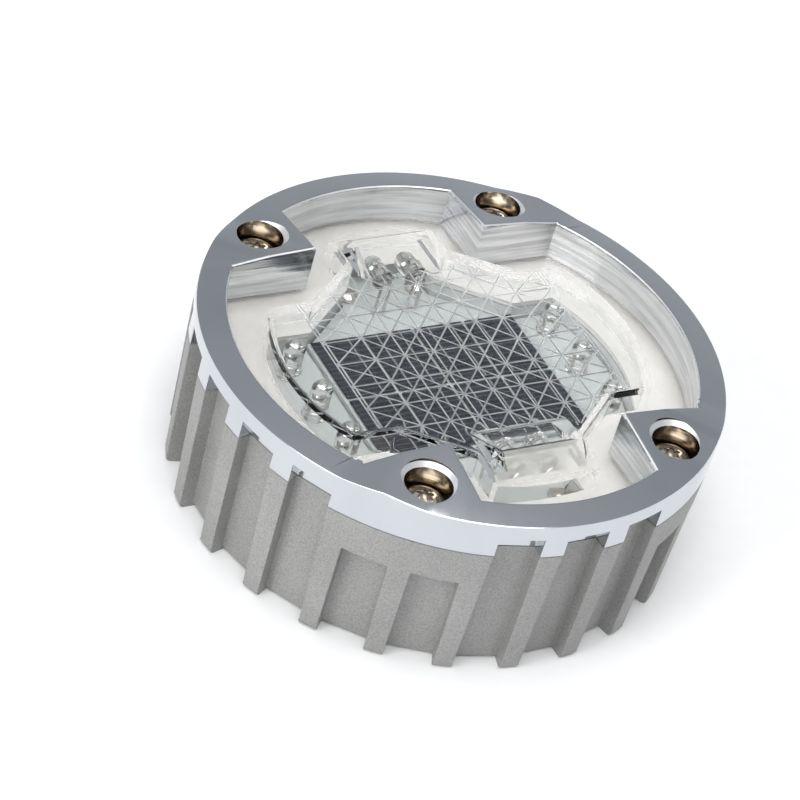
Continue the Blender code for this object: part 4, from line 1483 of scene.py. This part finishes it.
# ---------------------------------------------------------------- cover screws
@dataclass
class CoverScrews:
    """Four button-head screws with a six-lobed drive, each on a washer at the foot of its bore."""

    head_radius: float = 0.0050
    head_height: float = 0.0030
    shank_radius: float = 0.0029
    shank_length: float = 0.0190
    drive_radius: float = 0.0023
    drive_depth: float = 0.0020
    drive_lobe: float = 0.20
    edge_round: float = 0.00012
    thread_pitch: float = 0.0010

    def build(self) -> None:
        """Builds and dresses the screws and their washers."""
        x, y = SIZES.screw_place
        for number, (sx, sy) in enumerate(QUARTERS, 1):
            low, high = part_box(f"cover_washer_{number}")
            washer = self.washer(low.z, high.z)
            washer.move((sx * x, sy * y, 0))
            washer.finish(f"washer_{number}", ["screw_nickel"], [f"cover_washer_{number}"], "nickel_steel")
            screw = self.screw(high.z + SIZES.gap)
            screw.move((sx * x, sy * y, 0))
            screw.finish(f"button_screw_{number}", ["screw_nickel"], [f"cover_screw_{number}"], "nickel_steel")

    def washer(self, low: float, high: float) -> Shape:
        """One washer between two heights."""
        hole = self.shank_radius + SIZES.gap
        outer = self.head_radius + 0.0002
        shape = Shape.turned([(hole, low), (outer, low), (outer, high), (hole, high)], 64)
        return shape.soften(self.edge_round, lambda e: slope(e) > CREASE)

    def screw(self, foot: float) -> Shape:
        """One screw whose head stands on a height."""
        tip = foot - self.shank_length
        dome = [(self.head_radius * math.cos(math.radians(step)),
                 foot + self.head_height * (0.3 + 0.7 * math.sin(math.radians(step)))) for step in range(0, 71, 10)]
        thread = []
        turns = int(self.shank_length * 0.8 / self.thread_pitch)
        for turn in range(turns):
            base = tip + 2 * SIZES.gap + turn * self.thread_pitch
            thread += [(self.shank_radius * 0.84, base), (self.shank_radius, base + self.thread_pitch / 2)]
        profile = [(0, tip), (self.shank_radius - SIZES.gap * 2, tip)] + thread
        profile += [(self.shank_radius, foot), (self.head_radius, foot)] + dome + [(0, dome[-1][1])]
        shape = Shape.turned(profile, 64)
        shape.soften(self.edge_round, lambda e: slope(e) > CREASE and middle(e).z > foot - SIZES.gap)
        top = foot + self.head_height
        outline = []
        for step in range(72):
            turn = math.tau * step / 72
            reach = self.drive_radius * (1 - self.drive_lobe + self.drive_lobe * math.cos(6 * turn))
            outline.append((reach * math.cos(turn), reach * math.sin(turn)))
        shape.combine(Shape.prism(outline, top - self.drive_depth, top + self.head_height))
        low = top - self.head_height / 5
        return shape.soften(self.edge_round / 2, lambda e: slope(e) > CREASE and middle(e).z > low)


# ---------------------------------------------------------------- panel and main board
@dataclass
class SolarPanel:
    """Light board with crystalline cells, each with printed fingers and two raised bus bars."""

    cells: int = 8
    bus_half: float = 0.00045
    bus_share: float = 0.24
    bus_height: float = 0.00006
    edge_round: float = 0.00012
    board_round: float = 0.0002

    def build(self) -> None:
        """Builds and dresses the panel."""
        low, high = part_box("solar_board")
        board = Shape.block(high - low, (low + high) / 2)
        board.soften(self.board_round, lambda e: slope(e) > CREASE)
        board.finish("panel_board", ["board_mask"], ["solar_board"], "board_white")
        for number in range(1, self.cells + 1):
            self.cell(number)

    def cell(self, number: int) -> None:
        """Builds one cell with its bus bars."""
        low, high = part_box(f"solar_cell_{number}")
        size = high - low
        size.z -= self.bus_height
        middle_spot = (low + high) / 2
        middle_spot.z -= self.bus_height / 2
        slab = Shape.block(size, middle_spot)
        slab.soften(self.edge_round, lambda e: slope(e) > CREASE)
        slab.finish(f"cell_{number}", ["cell_silicon"], [f"solar_cell_{number}"], "solar_silicon")
        bars = Shape()
        for side in (-1, 1):
            x = middle_spot.x + side * size.x * self.bus_share
            bar = Shape.block((self.bus_half, size.y * 0.97, self.bus_height * 2),
                              (x, middle_spot.y, high.z - self.bus_height))
            bars.absorb(bar.soften(self.bus_height / 3, lambda e: slope(e) > CREASE))
        bars.finish(f"cell_bus_{number}", ["lead_steel"], slot="nickel_steel")


@dataclass
class Boards:
    """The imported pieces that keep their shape, each in its own finish."""

    PACKED = {
        "main_board": "board_mask", "lens_gasket": "gasket_silicone", "battery_cradle": "cradle_plastic",
        "charge_chip": "chip_epoxy", "boost_coil": "ferrite_core", "storage_capacitor": "chip_epoxy",
        "battery_wire_red": "red_insulation", "battery_wire_black": "black_insulation",
        "battery_cell_1": "battery_sleeve", "battery_cell_2": "battery_sleeve",
        "board_screw_1": "screw_nickel", "board_screw_2": "screw_nickel", "board_screw_3": "screw_nickel",
        "board_screw_4": "screw_nickel",
    }

    def build(self) -> None:
        """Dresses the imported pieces."""
        for node, finish in self.PACKED.items():
            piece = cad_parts[node]
            piece.data.materials.clear()
            piece.data.materials.append(FINISHES.get(finish))
            log.info("%s: packed piece in %s", node, finish)


# ---------------------------------------------------------------- lamps
@dataclass
class Lamps:
    """Clear round lamps with a reflector cup, an anvil and two leads inside."""

    radius: float = 0.0025
    collar: float = 0.0029
    collar_height: float = 0.0010
    length: float = 0.0086
    lead: float = 0.0006
    lead_space: float = 0.00125
    lead_back: float = 0.0018
    cup_radius: float = 0.00085
    rim_round: float = 0.00015
    sides: int = 40

    def build(self) -> None:
        """Builds every lamp, upright at the sides and lying under the hoods."""
        for side in ("left", "right"):
            for number in (1, 2, 3):
                node = f"led_{side}_{number}"
                low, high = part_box(node)
                place = Vector(((low.x + high.x) / 2, (low.y + high.y) / 2, low.z))
                self.body().move(place).finish(f"lamp_{side}_{number}", ["lamp_epoxy"], [node], "led_epoxy")
                self.core(0.0).move(place).finish(f"lamp_core_{side}_{number}", ["lead_steel"], slot="nickel_steel")
        for end, sy in (("front", 1), ("back", -1)):
            for side in ("left", "right"):
                self.lying(f"led_{end}_{side}", f"{end}_{side}", sy)

    def lying(self, node: str, tag: str, sy: int) -> None:
        """Builds one lamp that points out towards its hood's window.

        Args:
            node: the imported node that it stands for.
            tag: the end of its pieces' names.
            sy: 1 for the +Y end, -1 for the -Y end.
        """
        low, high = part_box(node)
        tip = high.y if sy > 0 else low.y
        place = Vector(((low.x + high.x) / 2, tip - sy * self.length, high.z - self.collar))
        drop = place.z - low.z
        for maker, name, finish, slot, nodes in (
                (self.body, "lamp_", "lamp_epoxy", "led_epoxy", [node]),
                (lambda: self.core(drop), "lamp_core_", "lead_steel", "nickel_steel", [])):
            shape = maker().turn(-90, "X")
            if sy < 0:
                shape.turn(180, "Z")
            shape.move(place)
            shape.finish(name + tag, [finish], nodes, slot)

    def body(self) -> Shape:
        """One lamp's moulding, standing on the origin."""
        crown = self.length - self.radius
        dome = [(self.radius * math.cos(math.radians(step)), crown + self.radius * math.sin(math.radians(step)))
                for step in range(0, 86, 9)]
        profile = [(0, 0), (self.collar, 0), (self.collar, self.collar_height), (self.radius, self.collar_height)]
        shape = Shape.turned(profile + dome + [(0, self.length)], self.sides)
        return shape.soften(self.rim_round, lambda e: slope(e) > CREASE)

    def core(self, drop: float) -> Shape:
        """The metal inside one lamp: leads, cup and anvil, standing on the origin.

        Args:
            drop: how far the leads run down behind a lying lamp, or 0 for an upright one.

        Returns:
            The shape, with a lying lamp's leads bent towards its own underside.
        """
        whole = Shape()
        step = self.lead_space
        for side, top in ((-1, self.length * 0.50), (1, self.length * 0.56)):
            foot = -self.lead_back if drop else SIZES.gap / 3
            post = Shape.block((self.lead, self.lead, top - foot), (side * step, 0, (top + foot) / 2))
            whole.absorb(post.soften(self.lead / 8, lambda e: slope(e) > CREASE))
            if drop:
                fall = Shape.block((self.lead, drop - self.lead / 2, self.lead),
                                   (side * step, (drop + self.lead / 2) / 2 - self.lead / 2, foot + self.lead / 2))
                whole.absorb(fall.soften(self.lead / 8, lambda e: slope(e) > CREASE))
        low, wide = self.length * 0.46, self.cup_radius
        cup = Shape.turned([(0, low), (wide * 0.7, low), (wide, low + wide), (wide * 0.8, low + wide),
                            (wide * 0.4, low + wide / 2), (0, low + wide / 2)], 24)
        whole.absorb(cup.move((-step * 0.45, 0, 0)))
        anvil = Shape.hull([(sx * w + step * 0.55, sy * self.lead, z)
                            for z, w in ((self.length * 0.40, self.lead), (self.length * 0.56, self.lead * 0.5))
                            for sx in (-1, 1) for sy in (-1, 1)])
        whole.absorb(anvil)
        return whole


# ---------------------------------------------------------------- floor, light and camera
@dataclass
class Studio:
    """Pale floor, soft lights, a quiet grey surround for the polish to reflect, and the camera."""

    azimuth: float = -38.09
    elevation: float = 38.51
    roll: float = 17.09
    distance: float = 0.7872
    target: tuple[float, float, float] = (-0.02515, -0.01577, 0.0453)
    lens: float = 158.9
    floor_size: float = 6.0

    def build(self) -> None:
        """Builds the studio."""
        self.floor()
        self.surround()
        self.light("overhead", (0.0, -0.05, 1.25), (0.9, 0.9), 9.5)
        self.light("key", (-1.35, -0.25, 0.70), (0.6, 0.8), 11.0)
        self.light("front", (-0.45, -0.62, 1.00), (0.5, 0.5), 3.0)
        self.camera()
        bpy.context.scene.view_settings.view_transform = "Standard"

    def floor(self) -> None:
        """A pale floor with a faint grain."""
        shape = Shape()
        bmesh.ops.create_grid(shape.bm, x_segments=8, y_segments=8, size=self.floor_size / 2)
        mesh = bpy.data.meshes.new("floor")
        shape.bm.to_mesh(mesh)
        shape.bm.free()
        floor = bpy.data.objects.new("floor", mesh)
        bpy.context.scene.collection.objects.link(floor)
        finish = GrainyFinish("pale_floor", (0.93, 0.93, 0.93, 1), (0.91, 0.91, 0.91, 1), 0.8, scale=300.0,
                              strength=0.05, speckle=0.02, drift_scale=2.0)
        mesh.materials.append(finish.build())

    def surround(self) -> None:
        """A soft grey surround, lighter at the horizon and overhead."""
        world = bpy.data.worlds.new("surround")
        bpy.context.scene.world = world
        world.use_nodes = True
        bench = NodeBench(world.node_tree)
        background = world.node_tree.nodes["Background"]
        split = bench.add("SeparateXYZ")
        bench.join(bench.add("TexCoord").outputs["Generated"], split.inputs[0])
        ramp = bench.add("ValToRGB")
        stops = ((0.0, (0.72, 0.73, 0.75, 1)), (0.16, (0.56, 0.58, 0.60, 1)), (0.34, (0.46, 0.48, 0.50, 1)),
                 (0.62, (0.38, 0.40, 0.42, 1)), (0.84, (0.47, 0.48, 0.50, 1)), (1.0, (0.6, 0.6, 0.6, 1)))
        ramp.color_ramp.elements.remove(ramp.color_ramp.elements[0])
        ramp.color_ramp.elements[0].position, ramp.color_ramp.elements[0].color = stops[0]
        for position, colour in stops[1:]:
            ramp.color_ramp.elements.new(position).color = colour
        bench.join(split.outputs["Z"], ramp.inputs["Fac"])
        bench.join(ramp.outputs["Color"], background.inputs["Color"])
        background.inputs["Strength"].default_value = 0.97

    def light(self, name: str, place: tuple[float, float, float], size: Point2, power: float) -> None:
        """One soft area light that faces the stud.

        Args:
            name: its name.
            place: where it hangs.
            size: its width and height.
            power: its power, in watts.
        """
        lamp = bpy.data.lights.new(name, "AREA")
        lamp.shape = "RECTANGLE"
        lamp.size, lamp.size_y = size
        lamp.energy = power
        holder = bpy.data.objects.new(name, lamp)
        bpy.context.scene.collection.objects.link(holder)
        holder.location = place
        aim = Vector((0, 0, SIZES.rim_z)) - Vector(place)
        holder.rotation_euler = aim.to_track_quat("-Z", "Y").to_euler()

    def camera(self) -> None:
        """The camera, rolled as the stud leans in its view."""
        turn, rise = math.radians(self.azimuth), math.radians(self.elevation)
        back = Vector((math.sin(turn) * math.cos(rise), -math.cos(turn) * math.cos(rise), math.sin(rise)))
        right = (-back).cross(Vector((0, 0, 1))).normalized()
        up = right.cross(-back).normalized()
        lean = math.radians(self.roll)
        across = math.cos(lean) * right + math.sin(lean) * up
        above = -math.sin(lean) * right + math.cos(lean) * up
        data = bpy.data.cameras.new("camera")
        data.lens = self.lens
        data.sensor_width = 36.0
        data.clip_start = 0.01
        camera = bpy.data.objects.new("camera", data)
        bpy.context.scene.collection.objects.link(camera)
        place = Vector(self.target) + back * self.distance
        camera.matrix_world = Matrix((across, above, back)).transposed().to_4x4()
        camera.location = place
        bpy.context.scene.camera = camera


def main() -> None:
    """Builds every sub-assembly in order, then the studio."""
    logging.basicConfig(level=logging.INFO, format="%(message)s")
    for assembly in (Housing(), TopRing(), LensCover(), CoverScrews(), SolarPanel(), Boards(), Lamps(), Studio()):
        log.info("building %s", type(assembly).__name__)
        assembly.build()


if __name__ == "__main__":
    main()
